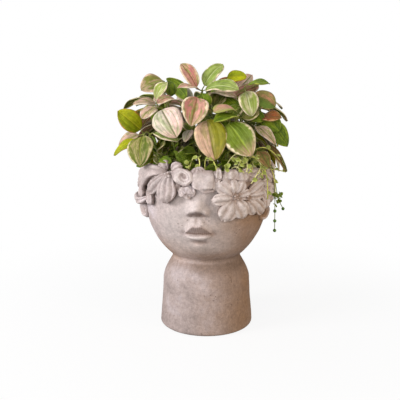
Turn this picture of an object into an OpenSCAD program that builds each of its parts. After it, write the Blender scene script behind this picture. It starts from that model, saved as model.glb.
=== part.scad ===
// Planter cast as a head on a hollow neck, with a flower garland round the rim,
// a drained bowl and a potted bush of striped leaves that lifts out.
// The face looks along -Y, the foot stands on z = 0, all sizes are in millimetres.

/* [Casting] */
// Height of the casting from the foot to the rim
pot_h = 220; // [190:1:250]
// Height of the throat, where the head sits on the neck
throat_h = 95; // [85:1:105]
// Outer radius of the flat foot
foot_r = 65; // [60:0.5:72]
// Outer radius of the neck at its shoulder
shoulder_r = 60.5; // [55:0.5:62]
// Height of the shoulder above the foot
shoulder_h = 60; // [50:1:70]
// Outer radius of the throat
throat_r = 47.5; // [45:0.5:51]
// Largest outer radius of the head
head_r = 85; // [80:0.5:95]
// Drop from the rim to the widest part of the head
brow_drop = 35; // [28:1:45]
// How much the head closes in from its widest part to the rim
rim_taper = 2; // [0:0.5:4]
// Wall thickness of the head
head_wall = 10; // [8:0.5:13]
// Wall thickness of the neck
neck_wall = 9; // [7:0.5:12]
// Height of the bowl's floor above the throat
floor_lift = 17; // [15:1:25]
// Thickness of the floor between the bowl and the hollow neck
floor_t = 13; // [10:0.5:16]
// Radius of the drain hole in the floor
drain_r = 6; // [4:0.5:9]
// Rounding of the foot and of the rim
edge_r = 4; // [2:0.5:4]

/* [Face] */
// Drop from the rim to the line between the lips
mouth_drop = 79; // [74:0.5:84]
// Width of the mouth from corner to corner
mouth_w = 36; // [30:1:42]
// Radius of the upper lip at its middle
upper_lip_r = 6; // [5:0.1:7]
// Radius of the lower lip at its middle
lower_lip_r = 4.4; // [3.5:0.1:5.5]
// Drop from the rim to the nostrils
nose_drop = 52; // [48:0.5:55]
// Width of the nose across the nostrils
nose_w = 24; // [20:0.5:28]
// Height of the nose from the nostrils to the brow
nose_h = 26; // [22:0.5:28]
// How far the nose stands off the face
nose_out = 10; // [7:0.5:13]
// Turn of each ear from the middle of the face, in degrees
ear_turn = 66; // [60:1:75]
// Drop from the rim to the middle of the ears
ear_drop = 55; // [50:1:60]
// Height of an ear
ear_h = 20; // [16:1:22]

/* [Garland] */
// Clearance under every piece that is bedded on the head
bed_gap = 0.4; // [0.3:0.05:0.6]
// Thickness of the petals at their edges
petal_edge = 3; // [2:0.25:4]
// Height of the petals where they swell most
petal_swell = 8; // [6:0.25:10]

/* [Planting] */
// Drop from the rim to the soil
headspace = 14; // [10:0.5:20]
// Clearance between the root ball and the bowl
ball_gap = 0.5; // [0.4:0.1:1.5]
// Height of the crown of the soil
soil_crown = 4; // [2:0.5:6]
// Radius of a clay pebble in the drainage layer
pebble_r = 4.5; // [3.5:0.25:5]
// Radius of the drain screen
screen_r = 18; // [14:1:22]
// Thickness of the drain screen
screen_t = 1.2; // [0.8:0.1:2]
// Radius of the main stems
stem_r = 1.6; // [1.2:0.1:2]
// Thickness of a leaf at its midrib
leaf_t = 1; // [0.8:0.1:1.4]
// Radius of a trailing thread stem
thread_r = 0.6; // [0.5:0.05:0.8]
// Radius of a bead leaf on the hanging threads
bead_r = 2.2; // [1.8:0.1:3]

/* [Hidden] */
SEAT = 0.2;
CEMENT = "#b3a396";
GREEN = "#6f8f35";
YELLOW_GREEN = "#8d9a2c";
PINK = "#d3a495";
COPPER = "#a8643f";
SOIL = "#3d2f22";
CLAY = "#a5603a";
LEAF_COLOURS = [GREEN, PINK, YELLOW_GREEN, COPPER];
$fn = 64;

widest_z = pot_h - brow_drop;
mouth_z = pot_h - mouth_drop;
nose_z = pot_h - nose_drop;
ear_z = pot_h - ear_drop;
floor_z = throat_h + floor_lift;
hollow_top = floor_z - floor_t;
rim_r = head_r - rim_taper;
bowl_max_r = head_r - head_wall;
soil_z = pot_h - headspace;
pebble_top = floor_z + screen_t + 2 * pebble_r + 2 * SEAT;

// The rows of the garland and of the planting are laid out for a head of 85 and a bowl of 75
bloom = head_r / 85;
spread = bowl_max_r / 75;

// The head is an ellipse that leaves the throat a little above the neck
throat_lip = 4.6;
head_depth = (widest_z - throat_h - throat_lip) / sqrt(1 - pow(throat_r / head_r, 2));

function unit(v) = v / norm(v);
function flat(lists) = [for (l = lists) each l];
function mix(a, b, t) = a + (b - a) * t;

// Outer radius of the plain casting at height z
function neck_side(z) = z < shoulder_h
    ? mix(foot_r, shoulder_r, z / shoulder_h)
    : mix(throat_r, shoulder_r, cos(90 * (z - shoulder_h) / (throat_h - shoulder_h)));
function bowl_side(z) = head_r * sqrt(1 - pow((widest_z - z) / head_depth, 2));
function brow_side(z) = head_r - rim_taper * pow(min(1, (z - widest_z) / brow_drop), 2);
function side(z) = z < throat_h ? neck_side(z)
    : z < throat_h + throat_lip ? throat_r
    : z < widest_z ? bowl_side(z) : brow_side(z);

// A point that stands out from the head, turned from the middle of the face
function around(turn, r, z) = [r * sin(turn), -r * cos(turn), z];
function arc_turn(arc, r) = arc / r * 180 / PI;
function on_head(turn, z, out) = around(turn, side(z) + out, z);

// Closed solid through a row of rings with equal numbers of points
module skin(rings) {
    n = len(rings[0]);
    last = len(rings) - 1;
    faces = concat(
        [for (i = [0:last - 1]) for (j = [0:n - 1]) let (k = (j + 1) % n)
            each [[i * n + j, (i + 1) * n + j, (i + 1) * n + k],
                [i * n + j, (i + 1) * n + k, i * n + k]]],
        [for (j = [1:n - 2]) [0, j, j + 1]],
        [for (j = [1:n - 2]) [last * n, last * n + j + 1, last * n + j]]);
    polyhedron(flat(rings), faces);
}

// Rings round a path, with their first side towards a reference direction
function path_tangent(path, i) =
    unit(path[min(i + 1, len(path) - 1)] - path[max(i - 1, 0)]);
function path_rings(path, radii, sides, ref) = [
    for (i = [0:len(path) - 1])
        let (t = path_tangent(path, i), a = unit(cross(t, ref)), b = cross(t, a))
        [for (j = [0:sides - 1]) let (turn = 360 * j / sides)
            path[i] + radii[i] * (a * cos(turn) + b * sin(turn))]];
module tube(path, radii, sides, ref) {
    skin(path_rings(path, radii, sides, ref));
}

// Casting: the bowl from above, the hollow neck from below and the drain between them
module casting_outside() {
    neck = [for (i = [1:15]) let (z = edge_r + (throat_h - edge_r) * i / 15) [neck_side(z), z]];
    head = [for (i = [0:18]) let (z = mix(throat_h + throat_lip, widest_z, sin(5 * i))) [bowl_side(z), z]];
    brow = [for (i = [1:4]) let (z = mix(widest_z, pot_h - edge_r, i / 4)) [brow_side(z), z]];
    heel_r = neck_side(edge_r) - edge_r;
    foot = [for (a = [0:15:75]) [heel_r + edge_r * sin(a), edge_r * (1 - cos(a))]];
    brim_r = brow_side(pot_h - edge_r) - edge_r;
    rim = [for (a = [15:15:90]) [brim_r + edge_r * cos(a), pot_h - edge_r * (1 - sin(a))]];
    side_points = concat(foot, [[neck_side(edge_r), edge_r]], neck, head, brow, rim);
    rotate_extrude() polygon(concat([[0, 0]], side_points, [[0, pot_h]]));
}
function bowl_r(z) = z < widest_z ? bowl_side(z) - head_wall : bowl_max_r;
function bowl_heights(low) = concat([for (i = [0:14]) mix(low, widest_z, sin(90 * i / 14))]);
module bowl_cavity() {
    wall = [for (z = bowl_heights(floor_z)) [bowl_r(z), z]];
    lip_z = pot_h - edge_r / 2;
    lip = [[bowl_max_r, lip_z], [bowl_max_r + edge_r / 2, pot_h + 1]];
    rotate_extrude() polygon(concat([[0, floor_z]], wall, lip, [[0, pot_h + 1]]));
}
module neck_cavity() {
    low = [for (z = [-1:(shoulder_h + 1) / 4:shoulder_h]) [neck_side(max(z, 0)) - neck_wall, z]];
    bend_z = hollow_top - neck_wall;
    high = [for (i = [1:6]) let (z = mix(shoulder_h, bend_z, i / 6)) [neck_side(z) - neck_wall, z]];
    top_r = min(neck_side(bend_z), throat_r) - neck_wall;
    crown = [for (a = [0:30:90]) [top_r - neck_wall * (1 - cos(a)), bend_z + neck_wall * sin(a)]];
    rotate_extrude() polygon(concat([[0, -1]], low, high, crown, [[0, hollow_top]]));
}

// Nose: sections from under the nostrils up to the brow, let into the wall of the head
function nose_section(f) = let (
        z = nose_z - 3 + (nose_h + 3) * f,
        wide = nose_w / 2 * mix(1, 0.36, pow(min(1, f * 1.6), 1.5)) * (f < 0.1 ? 0.86 : 1),
        bridge = 0.34,
        profile = f < bridge ? mix(0.3, 1, sin(90 * f / bridge))
            : mix(1, -0.12, pow((f - bridge) / (1 - bridge), 0.9)),
        out = nose_out * profile,
        skin_r = side(z))
    concat([[-wide - 1, -skin_r + head_wall / 2, z]],
        [for (j = [0:8]) let (a = 180 - 22.5 * j, x = wide * cos(a))
            [x, -sqrt(skin_r * skin_r - x * x) + 1.2 - (out + 1.2) * pow(sin(a), 1.4), z]],
        [[wide + 1, -skin_r + head_wall / 2, z]]);
module nose() {
    skin([for (f = [0, 0.05, 0.12, 0.22, 0.34, 0.48, 0.64, 0.82, 1]) nose_section(f)]);
}

// Lips: two rolls that meet at the corners of the mouth
module lip(drop, bow, full) {
    steps = 12;
    across = [for (i = [0:steps]) 2 * i / steps - 1];
    path = [for (s = across) let (belly = 1 - s * s)
        on_head(s * arc_turn(mouth_w / 2, side(mouth_z)),
            mouth_z + (drop + bow * (cos(540 * s) - 1)) * belly, -0.6 - 0.15 * full * belly)];
    radii = [for (s = across) mix(1, full, pow(1 - s * s, 0.7))];
    tube(path, radii, 8, [0, 0, 1]);
}

// Ear: a curled rim that runs from the temple over the top and down to the lobe
module ear(turn) {
    steps = 14;
    ear_w = 0.68 * ear_h;
    path = [for (i = [0:steps]) let (a = 130 - 260 * i / steps)
        on_head(turn - sign(turn) * arc_turn(ear_w / 2 * cos(a) - 2, side(ear_z)),
            ear_z + ear_h / 2 * sin(a), 1)];
    radii = [for (i = [0:steps]) 2 + 0.9 * i / steps];
    tube(path, radii, 6, around(turn, 1, 0));
}

module head_casting() {
    color(CEMENT) difference() {
        union() {
            casting_outside();
            nose();
            lip(upper_lip_r - 0.2, 0.9, upper_lip_r);
            lip(0.4 - lower_lip_r, 0, lower_lip_r);
            ear(ear_turn);
            ear(-ear_turn);
        }
        bowl_cavity();
        neck_cavity();
        translate([0, 0, hollow_top - 1]) cylinder(r = drain_r, h = floor_t + 2);
    }
}

// Garland flower: petals as [direction from up, length, half angle] round a small boss
function petal_reach(a, petals, core) = max(concat([core], [for (p = petals)
    let (off = abs((a - p[0] + 540) % 360 - 180))
    off < p[2] ? p[1] * pow(cos(90 * off / p[2]), 0.55) : 0]));
module flower(turn, drop, petals, core) {
    sectors = 24;
    longest = max([for (p = petals) p[1]]);
    z0 = pot_h - drop * bloom;
    rise = [[0, 5.5], [0.3, 4.5], [0.66, petal_swell], [0.9, petal_swell * 0.72], [1, petal_edge]];
    place = function (a, part, out) let (
            share = petal_reach(a, petals, core) / longest,
            reach = share * longest * bloom,
            lift = part > 0.3 && part < 1 ? out * mix(0.6, 1, share) : out,
            z = z0 + part * reach * cos(a))
        on_head(turn + arc_turn(part * reach * sin(a), head_r), z, bed_gap + lift);
    ring = function (part, out) [for (j = [0:sectors - 1]) place(360 * j / sectors, part, out)];
    tip = function (out) [on_head(turn, z0, bed_gap + out)];
    shell = concat(tip(0), ring(0.35, 0), ring(0.68, 0), ring(1, 0), ring(1, petal_edge), ring(0.9, rise[3][1]),
        ring(0.66, rise[2][1]), ring(0.3, rise[1][1]), tip(rise[0][1]));
    rows = 7;
    end = 1 + rows * sectors;
    faces = concat(
        [for (j = [0:sectors - 1]) let (k = (j + 1) % sectors) [0, 1 + k, 1 + j]],
        [for (i = [0:rows - 2]) for (j = [0:sectors - 1])
            let (k = (j + 1) % sectors, a = 1 + i * sectors, b = a + sectors)
            each [[a + j, b + k, b + j], [a + j, a + k, b + k]]],
        [for (j = [0:sectors - 1]) let (k = (j + 1) % sectors, a = end - sectors) [end, a + j, a + k]]);
    color(CEMENT) polyhedron(shell, faces);
}
DAISY = [for (k = [0:4]) [72 * k + 8, 25 + 2 * sin(130 * k), 42]];
// Each row: name, turn from the face, drop below the rim, petals, radius of the boss
FLOWERS = [
    ["garland_bloom_left", -26, 2,
        [[186, 37, 34], [236, 38, 32], [274, 36, 28], [96, 27, 44], [318, 14, 44], [44, 12, 44]], 8],
    ["garland_bud_brow", -8.5, 25, [[60, 10, 64], [180, 12, 64], [300, 10, 64]], 8],
    ["garland_petal_brow", 5, 1, [[180, 24, 80], [108, 15, 50], [252, 15, 50], [0, 7, 60]], 9],
    ["garland_petal_rim", 26, 1, [[180, 8, 60], [88, 19, 50], [272, 15, 50], [0, 7, 60]], 6],
    ["garland_bloom_right", 29, 31,
        [[268, 26, 34], [206, 28, 38], [156, 26, 34], [318, 24, 38], [10, 17, 44]], 8],
    ["garland_bloom_temple", 48, 31,
        [[150, 27, 38], [96, 24, 40], [46, 24, 40], [202, 22, 30], [342, 16, 38]], 6],
    ["garland_leaf_temple", -50, 42, [[180, 10, 70], [82, 10, 60], [276, 12, 60]], 7],
    ["garland_bloom_ear", -70, 18,
        [[20, 19, 44], [92, 15, 44], [164, 22, 42], [240, 25, 38], [308, 19, 44]], 8]];
BACK_FLOWERS = [for (k = [1:6]) str("garland_bloom_back_", k)];
BACK_START = 82;
BACK_STEP = 34.5;
module garland_flower(i) {
    flower(FLOWERS[i][1], FLOWERS[i][2], FLOWERS[i][3], FLOWERS[i][4]);
}
module back_flower(k) {
    flower(BACK_START + BACK_STEP * k, 22 - 4 * cos(180 * k), DAISY, 7);
}

// Drainage: a square-holed screen over the drain under a layer of round clay pebbles
module drain_screen() {
    pitch = 4.5;
    count = floor((screen_r - 3) / pitch);
    color("dimgray") translate([0, 0, floor_z + SEAT]) difference() {
        cylinder(r = screen_r, h = screen_t);
        for (i = [-count:count]) for (j = [-count:count]) if (norm([i, j]) * pitch < screen_r - 3.5)
            translate([i * pitch - 1.5, j * pitch - 1.5, -1]) cube([3, 3, screen_t + 2]);
    }
}
module drainage_pebbles() {
    step = 2 * pebble_r + 0.6;
    rings = floor((bowl_r(floor_z) - pebble_r - 0.5) / step);
    color(CLAY) for (i = [0:rings])
        let (r = i * step, count = max(1, 6 * i), on_screen = r < screen_r + pebble_r,
            z = floor_z + SEAT + (on_screen ? screen_t + SEAT : 0) + pebble_r)
        for (k = [0:count - 1])
            translate(around(360 * k / count, r, z)) sphere(r = pebble_r);
}

// Root ball: potting soil that has taken the shape of the bowl, with a low crown
function soil_top(r) = soil_z + soil_crown * (1 - pow(r / bowl_max_r, 2));
function ball_r(z) = bowl_r(z) - ball_gap;
module root_ball() {
    wall = [for (z = bowl_heights(floor_z)) if (z > pebble_top + SEAT + 1) [ball_r(z), z]];
    top = [for (r = [bowl_max_r - ball_gap:-8:8]) [r, soil_top(r)]];
    low = pebble_top + SEAT;
    color(SOIL) rotate_extrude()
        polygon(concat([[0, low], [ball_r(low), low]], wall, top, [[0, soil_top(0)]]));
}

// Stems as [foot x, y], [elbow x, y, height over the soil], [top x, y, height over the soil]
STEMS = [
    [[-4, -2], [-6, -6, 70], [-4, -12, 116]],
    [[-20, -6], [-46, -12, 60], [-56, -16, 122]],
    [[-28, -26], [-42, -40, 50], [-50, -36, 100]],
    [[-44, -18], [-62, -24, 42], [-82, -28, 60]],
    [[-46, -40], [-58, -46, 40], [-68, -50, 60]],
    [[-4, -32], [-6, -34, 60], [-7, -34, 102]],
    [[26, -30], [36, -40, 50], [46, -32, 92]],
    [[34, -8], [46, -12, 60], [52, -14, 118]],
    [[50, -8], [64, -10, 50], [70, -10, 76]],
    [[56, -34], [62, -42, 20], [66, -46, 36]],
    [[12, 4], [16, 6, 70], [20, 8, 128]],
    [[-43, -46], [-45, -50, 16], [-54, -60, 30]]];
BACK_STEMS = 7;
TOP_STEMS = 3;
function back_turn(k) = 101 + 27 * k;
function top_turn(k) = 104 + 64 * k;
function back_stem(k) = let (a = back_turn(k))
    [around(a, 42, 0), around(a, 54, 52), around(a + 6, 70, 102 + 10 * sin(150 * k))];
function top_stem(k) = let (a = top_turn(k))
    [around(a, 22, 0), around(a, 26, 60), around(a + 4, 26, 108 + 6 * sin(110 * k))];
function planted(p) = p * spread + [0, 0, soil_z];
function stem_point(s, t) = let (
        x = s[0][0] * spread, y = s[0][1] * spread,
        foot = [x, y, soil_top(norm([x, y])) + SEAT])
    foot * (1 - t) * (1 - t) + planted(s[1]) * 2 * t * (1 - t) + planted(s[2]) * t * t;
function stem_way(s, t) = unit(stem_point(s, t + 0.01) - stem_point(s, t - 0.01));
module stem(s) {
    steps = 6;
    foot = stem_point(s, 0);
    path = concat([foot, foot + [0, 0, 1]], [for (i = [1:steps]) stem_point(s, i / steps)]);
    radii = concat([stem_r], [for (i = [0:steps]) stem_r * mix(1, 0.6, i / steps)]);
    color(YELLOW_GREEN) tube(path, radii, 4, [0, 1, 0]);
}

// Leaf: a petiole from the stem, then an oval blade with raised edges and a pointed tip
BLADE = [0.1, 0.3, 0.52, 0.74, 0.9];
SHORT_BLADE = [0.14, 0.5, 0.85];
function blade_share(t) = 1.14 * sqrt(t) * pow(1 - t, 0.72);
function leaf_rings(start, base, tip, wide, facing, cup, sections = BLADE) = let (
        along = unit(tip - base), length = norm(tip - base),
        up = unit(facing - along * (facing * along)), across = cross(along, up),
        reach = base - start, side_way = unit(cross(reach, up)), top_way = cross(side_way, unit(reach)),
        pin = leaf_t * 0.6,
        centre = function (t) base + (tip - base) * t + up * length * 0.5 * t * (1 - t))
    concat(
        [[start - side_way * pin, start + top_way * pin, start + side_way * pin, start - top_way * pin]],
        [[base - across * 1.2 * pin, base + up * 0.6 * pin, base + across * 1.2 * pin, base - up * pin]],
        [for (t = sections) let (c = centre(t), w = wide * blade_share(t))
            [c + (up * cup - across) * w, c + up * 0.1,
                c + (up * cup + across) * w, c - up * leaf_t * mix(1, 0.5, t)]],
        [let (c = centre(1)) [c - across * 0.25, c + up * 0.1, c + across * 0.25, c - up * 0.25]]);
// The petiole starts just off the side of its stem, or just past its end for the last leaf
function petiole_start(s, t, base) = let (
        from = stem_point(s, t), away = unit(base - from), along = stem_way(s, t),
        r = stem_r * mix(1, 0.6, t), pin = leaf_t * 0.6,
        forward = away * along, slant = max(0.4, norm(cross(away, along))),
        beside = (r + SEAT + pin * abs(forward)) / slant,
        beyond = t > 0.99 && forward > 0.3 ? (SEAT + pin * slant) / forward : beside)
    from + away * min(beside, beyond);
module leaf(stem_row, t, base, tip, wide, facing, cup, kind, sections = BLADE) {
    foot = planted(base);
    color(LEAF_COLOURS[kind])
        skin(leaf_rings(petiole_start(stem_row, t, foot), foot, planted(tip), wide * spread, facing, cup,
            sections));
}

// Leaves as [stem, place on it, base, tip, width, facing, cup, colour], heights over the soil
LEAVES = [
    [0, 1.00, [-12, -14, 119], [-33, -10, 150], 26, [0.3, -1, 0.2], 0.5, 1],
    [0, 0.96, [-8, -22, 116], [-32, -38, 117], 24, [0, -0.3, 1], 0.2, 1],
    [0, 0.98, [-2, -6, 122], [22, 1, 149], 26, [-0.4, -1, 0.5], 0.3, 0],
    [0, 0.93, [2, -22, 116], [46, -38, 114], 28, [0, -0.7, 1], 0.3, 0],
    [0, 0.90, [6, -6, 111], [42, -14, 105], 24, [0, -0.3, 1], 0.2, 3],
    [1, 1.00, [-56, -20, 128], [-82, -33, 115], 28, [-0.3, -1, 0.8], 0.2, 0],
    [1, 0.90, [-64, -26, 98], [-92, -36, 97], 22, [-0.1, -0.6, 1], 0.2, 0],
    [1, 0.96, [-46, -12, 108], [-52, -4, 128], 18, [0.6, -1, 0.3], 0.2, 2],
    [2, 1.00, [-60, -40, 103], [-46, -37, 124], 20, [-0.6, -1, 0.2], 0.4, 0],
    [2, 0.95, [-38, -38, 104], [-54, -60, 97], 20, [0.2, -0.4, 1], 0.2, 1],
    [2, 0.88, [-60, -44, 92], [-75, -58, 78], 22, [-0.3, -1, 0.8], 0.2, 1],
    [2, 0.80, [-50, -54, 89], [-27, -76, 55], 40, [0, -1, 0.5], 0.2, 1],
    [3, 1.00, [-84, -32, 64], [-110, -45, 88], 28, [0.3, -1, 0.2], 0.25, 2],
    [3, 0.90, [-90, -20, 56], [-118, -20, 43], 20, [-0.2, -1, 0.8], 0.2, 1],
    [3, 0.82, [-88, -36, 50], [-117, -44, 30], 16, [-0.4, -1, 0.8], 0.3, 2],
    [4, 1.00, [-74, -58, 56], [-73, -76, 20], 36, [-0.2, -1, 0.2], 0.2, 0],
    [4, 0.90, [-60, -54, 60], [-28, -64, 49], 24, [0.2, -0.5, 1], 0.2, 0],
    [5, 1.00, [-6, -44, 104], [-10, -68, 69], 36, [0.2, -1, 0.4], 0.3, 1],
    [5, 0.92, [4, -32, 92], [-2, -36, 110], 20, [0.3, -1, 0.2], 0.3, 2],
    [5, 0.70, [-14, -46, 64], [-19, -60, 49], 14, [-0.3, -1, 0.5], 0.2, 1],
    [5, 0.78, [8, -54, 76], [21, -76, 28], 40, [0.1, -1, 0.4], 0.35, 1],
    [6, 0.84, [35, -56, 72], [64, -75, 33], 36, [0.1, -1, 0.4], 0.15, 0],
    [6, 1.00, [42, -42, 88], [17, -64, 86], 26, [-0.1, -0.6, 1], 0.3, 1],
    [6, 0.92, [46, -46, 80], [18, -66, 74], 24, [-0.1, -0.5, 1], 0.3, 0],
    [7, 0.95, [54, -22, 112], [63, -40, 81], 26, [0.1, -1, 0.3], 0.3, 0],
    [7, 0.90, [62, -10, 108], [92, -14, 93], 26, [0.2, -0.8, 1], 0.2, 3],
    [7, 1.00, [56, -8, 122], [84, -8, 123], 22, [0, -0.4, 1], 0.2, 0],
    [8, 1.00, [74, -14, 79], [100, -20, 79], 24, [0, -0.7, 1], 0.2, 3],
    [8, 0.92, [76, 0, 70], [106, -6, 45], 28, [0.3, -0.9, 0.7], 0.2, 0],
    [8, 0.86, [68, -26, 68], [93, -42, 46], 22, [0.2, -1, 0.6], 0.4, 1],
    [8, 0.60, [84, -18, 44], [108, -26, 10], 10, [0.5, -1, 0.3], 0.3, 3],
    [9, 0.90, [72, -50, 38], [86, -58, 18], 18, [0.3, -1, 0.4], 0.3, 2],
    [10, 1.00, [27, 4, 132], [53, 3, 133], 20, [0, -1, 0.6], 0.2, 2],
    [10, 0.94, [14, 16, 126], [34, 25, 131], 18, [0, -0.6, 1], 0.2, 3],
    [11, 0.98, [-64, -60, 27], [-80, -68, 18], 14, [-0.3, -1, 0.6], 0.2, 0],
    [11, 0.90, [-50, -68, 28], [-34, -76, 24], 14, [0, -0.8, 1], 0.2, 0]];

// Side leaves: shorter ones that fill the tall front shoots, as [stem, place on it]
SIDE_LEAVES = [[0, 3], [0, 4], [1, 3], [1, 4], [6, 4], [7, 3], [10, 1], [10, 3], [10, 4]];
function side_leaf(i, k) = let (
        t = 0.34 + 0.12 * k,
        from = (stem_point(STEMS[i], t) - [0, 0, soil_z]) / spread,
        turn = atan2(from[0], -from[1]),
        way = (i + k) % 2 == 0 ? 1 : -1,
        length = 28 + 4 * sin(97 * i + 50 * k),
        base = from + around(turn + way * 50, 8, 3),
        tip = base + around(turn + way * 60, 0.7 * length, 0.3 * length))
    [t, base, tip, 0.72 * length, around(turn, 1.1, 1), 0.22];

// Leaves of the back and of the crown, fanned round their stems by a rule
function fan_leaf(s, turn, i, length, low) = let (
        t = 1 - 0.08 * i,
        side_turn = turn + (i % 2 == 0 ? 20 : -20),
        from = (stem_point(s, t) - [0, 0, soil_z]) / spread,
        base = from + around(side_turn, 9, 2),
        tip = base + around(side_turn, length, low - 9 * i))
    [t, base, tip, length * 0.68, around(turn, 1.1, 1), 0.22];
module fan_leaves(s, turn, count, length, low, shift) {
    for (i = [0:count - 1])
        let (l = fan_leaf(s, turn, i, length + 4 * sin(97 * i + shift), low))
        leaf(s, l[0], l[1], l[2], l[3], l[4], l[5], (i + shift) % 3);
}

// Low leaves that ring the bush close over the soil, with gaps for watering and for what else is there
LOW_LEAVES = 30;
LOW_GAPS = [0, 5, 7, 14, 25, 27];
module low_leaves() {
    for (k = [1:LOW_LEAVES - 1]) if (len(search(k, LOW_GAPS)) == 0) let (
            turn = 360 * k / LOW_LEAVES,
            r = (58 - 8 * cos(turn)) * spread,
            foot = around(turn, r, soil_top(r) + SEAT),
            lean = turn + 30 * sin(75 * k),
            base = foot + around(lean, 4, 13 + 5 * (k % 3)) * spread,
            tip = base + around(lean, 13 + 3 * (k % 3), 9 + 6 * sin(50 * k)) * spread)
        color(LEAF_COLOURS[k % 3])
            skin(leaf_rings(foot, base, tip, 16 * spread, around(turn, 0.3, 1), 0.25, SHORT_BLADE));
}

module shoot(i) {
    stem(STEMS[i]);
    for (l = LEAVES) if (l[0] == i) leaf(STEMS[i], l[1], l[2], l[3], l[4], l[5], l[6], l[7]);
    for (p = SIDE_LEAVES) if (p[0] == i) let (l = side_leaf(i, p[1]))
        leaf(STEMS[i], l[0], l[1], l[2], l[3], l[4], l[5], (i + p[1]) % 3, SHORT_BLADE);
}
module back_shoot(k) {
    stem(back_stem(k));
    fan_leaves(back_stem(k), back_turn(k), 7, 40, -12, k);
}
module top_shoot(k) {
    stem(top_stem(k));
    fan_leaves(top_stem(k), top_turn(k), 4, 32, 28, k);
}

// Trailing threads from the soil, as [turn, distance outside the rim, height over the soil]
THREADS = [
    [[-12, -20, 0], [-10, -10, 22], [-8, -2, 24], [-7, 4, 18]],
    [[58, -24, 0], [60, -14, 30], [62, 2, 28], [63, 11, 14], [64, 12, -10], [64, 12, -34]],
    [[40, -18, 0], [38, -8, 24], [41, 4, 22], [44, 11, 10], [46, 12, -4]]];
BEADED = [
    [[84, -20, 0], [84, -10, 22], [84, 2, 26], [84, 15, 16], [84, 17, -20], [83, 17, -68]],
    [[92, -20, 0], [92, -10, 20], [92, 4, 24], [92, 17, 8], [93, 24, -42]]];
function thread_foot(row) = let (r = rim_r + row[1] * spread)
    around(row[0], r, soil_top(r) + SEAT + thread_r);
function thread_path(rows) = concat([thread_foot(rows[0])], [for (i = [1:len(rows) - 1]) let (row = rows[i])
    around(row[0], rim_r + row[1] * spread, soil_z + row[2] * spread)]);
module thread(rows) {
    path = thread_path(rows);
    color(YELLOW_GREEN) tube(path, [for (p = path) thread_r], 4, [0, 0.1, 1]);
}
module trailing_threads() {
    for (rows = THREADS) thread(rows);
}
module beaded_threads() {
    for (rows = BEADED) {
        path = thread_path(rows);
        last = len(path) - 1;
        thread(rows);
        color(GREEN) for (f = [0.1, 0.4, 0.7, 1])
            translate(mix(path[last - 1], path[last], f) - [0, 0, f == 1 ? bead_r * 0.6 : 0])
                sphere(r = bead_r, $fn = 24);
    }
}

head_casting();
drain_screen();
drainage_pebbles();
root_ball();
low_leaves();
trailing_threads();
beaded_threads();
for (i = [0:len(FLOWERS) - 1]) garland_flower(i);
for (k = [1:6]) back_flower(k - 1);
for (i = [0:len(STEMS) - 1]) shoot(i);
for (k = [1:BACK_STEMS]) back_shoot(k - 1);
for (k = [1:TOP_STEMS]) top_shoot(k - 1);
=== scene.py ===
import math

import bpy
import numpy as np
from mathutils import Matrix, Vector, noise


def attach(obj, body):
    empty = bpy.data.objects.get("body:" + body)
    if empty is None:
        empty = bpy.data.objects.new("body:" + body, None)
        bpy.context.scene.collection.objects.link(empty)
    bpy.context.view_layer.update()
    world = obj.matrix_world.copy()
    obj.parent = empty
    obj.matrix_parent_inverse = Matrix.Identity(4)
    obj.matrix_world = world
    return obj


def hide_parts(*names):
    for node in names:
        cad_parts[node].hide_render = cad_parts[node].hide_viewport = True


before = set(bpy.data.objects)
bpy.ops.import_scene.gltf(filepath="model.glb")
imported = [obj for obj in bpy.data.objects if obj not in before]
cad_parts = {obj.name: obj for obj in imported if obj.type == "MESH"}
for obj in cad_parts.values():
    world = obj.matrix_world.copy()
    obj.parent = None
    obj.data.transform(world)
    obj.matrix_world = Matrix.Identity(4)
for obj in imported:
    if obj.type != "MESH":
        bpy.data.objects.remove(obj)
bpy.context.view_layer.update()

# Studio: a pale floor and white surroundings, a large soft lamp to the viewer's left and above,
# a weaker warm one to the right, and the camera where the photographer stood.
MM = 0.001
WHITE = (1.0, 1.0, 1.0, 1.0)
SMOOTH = {"interpolation_type": "SMOOTHSTEP"}


def add(tree, kind, inputs=(), **settings):
    """A node. Inputs, in order or by name, are values, sockets or nodes, whose first output in use counts."""
    made = tree.nodes.new("ShaderNode" + kind)
    for name, value in settings.items():
        setattr(made, name, value)
    for name, value in inputs.items() if isinstance(inputs, dict) else enumerate(inputs):
        if isinstance(value, bpy.types.Node):
            value = next(output for output in value.outputs if output.enabled)
        if isinstance(value, bpy.types.NodeSocket):
            tree.links.new(value, made.inputs[name])
        else:
            made.inputs[name].default_value = value
    return made


def bare_material(name):
    """A new material, and its empty tree."""
    made = bpy.data.materials.new(name)
    made.use_nodes = True
    made.node_tree.nodes.clear()
    return made, made.node_tree


def linear(hex_colour):
    """An sRGB hex colour as linear red, green, blue and alpha."""
    parts = [int(hex_colour[i:i + 2], 16) / 255 for i in (1, 3, 5)]
    return tuple(c / 12.92 if c <= 0.04045 else ((c + 0.055) / 1.055) ** 2.4 for c in parts) + (1.0,)


def seen_directly(tree):
    """1 for rays from the camera and for those that mirror or pass through something."""
    path = add(tree, "LightPath").outputs
    seen = add(tree, "Math", (path["Is Camera Ray"], path["Is Glossy Ray"]), operation="MAXIMUM")
    return add(tree, "Math", (seen, path["Is Transmission Ray"]), operation="MAXIMUM")


def fresh(make, **settings):
    """A new object at the origin, made by an operator with nothing else selected."""
    bpy.ops.object.select_all(action="DESELECT")
    make(location=(0, 0, 0), **settings)
    return bpy.context.object


floor = fresh(bpy.ops.mesh.primitive_plane_add, size=30)
floor.name = "floor"
floor.data.materials.clear()
paper, tree = bare_material("Matt white paper sweep")
seen = seen_directly(tree)
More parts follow.
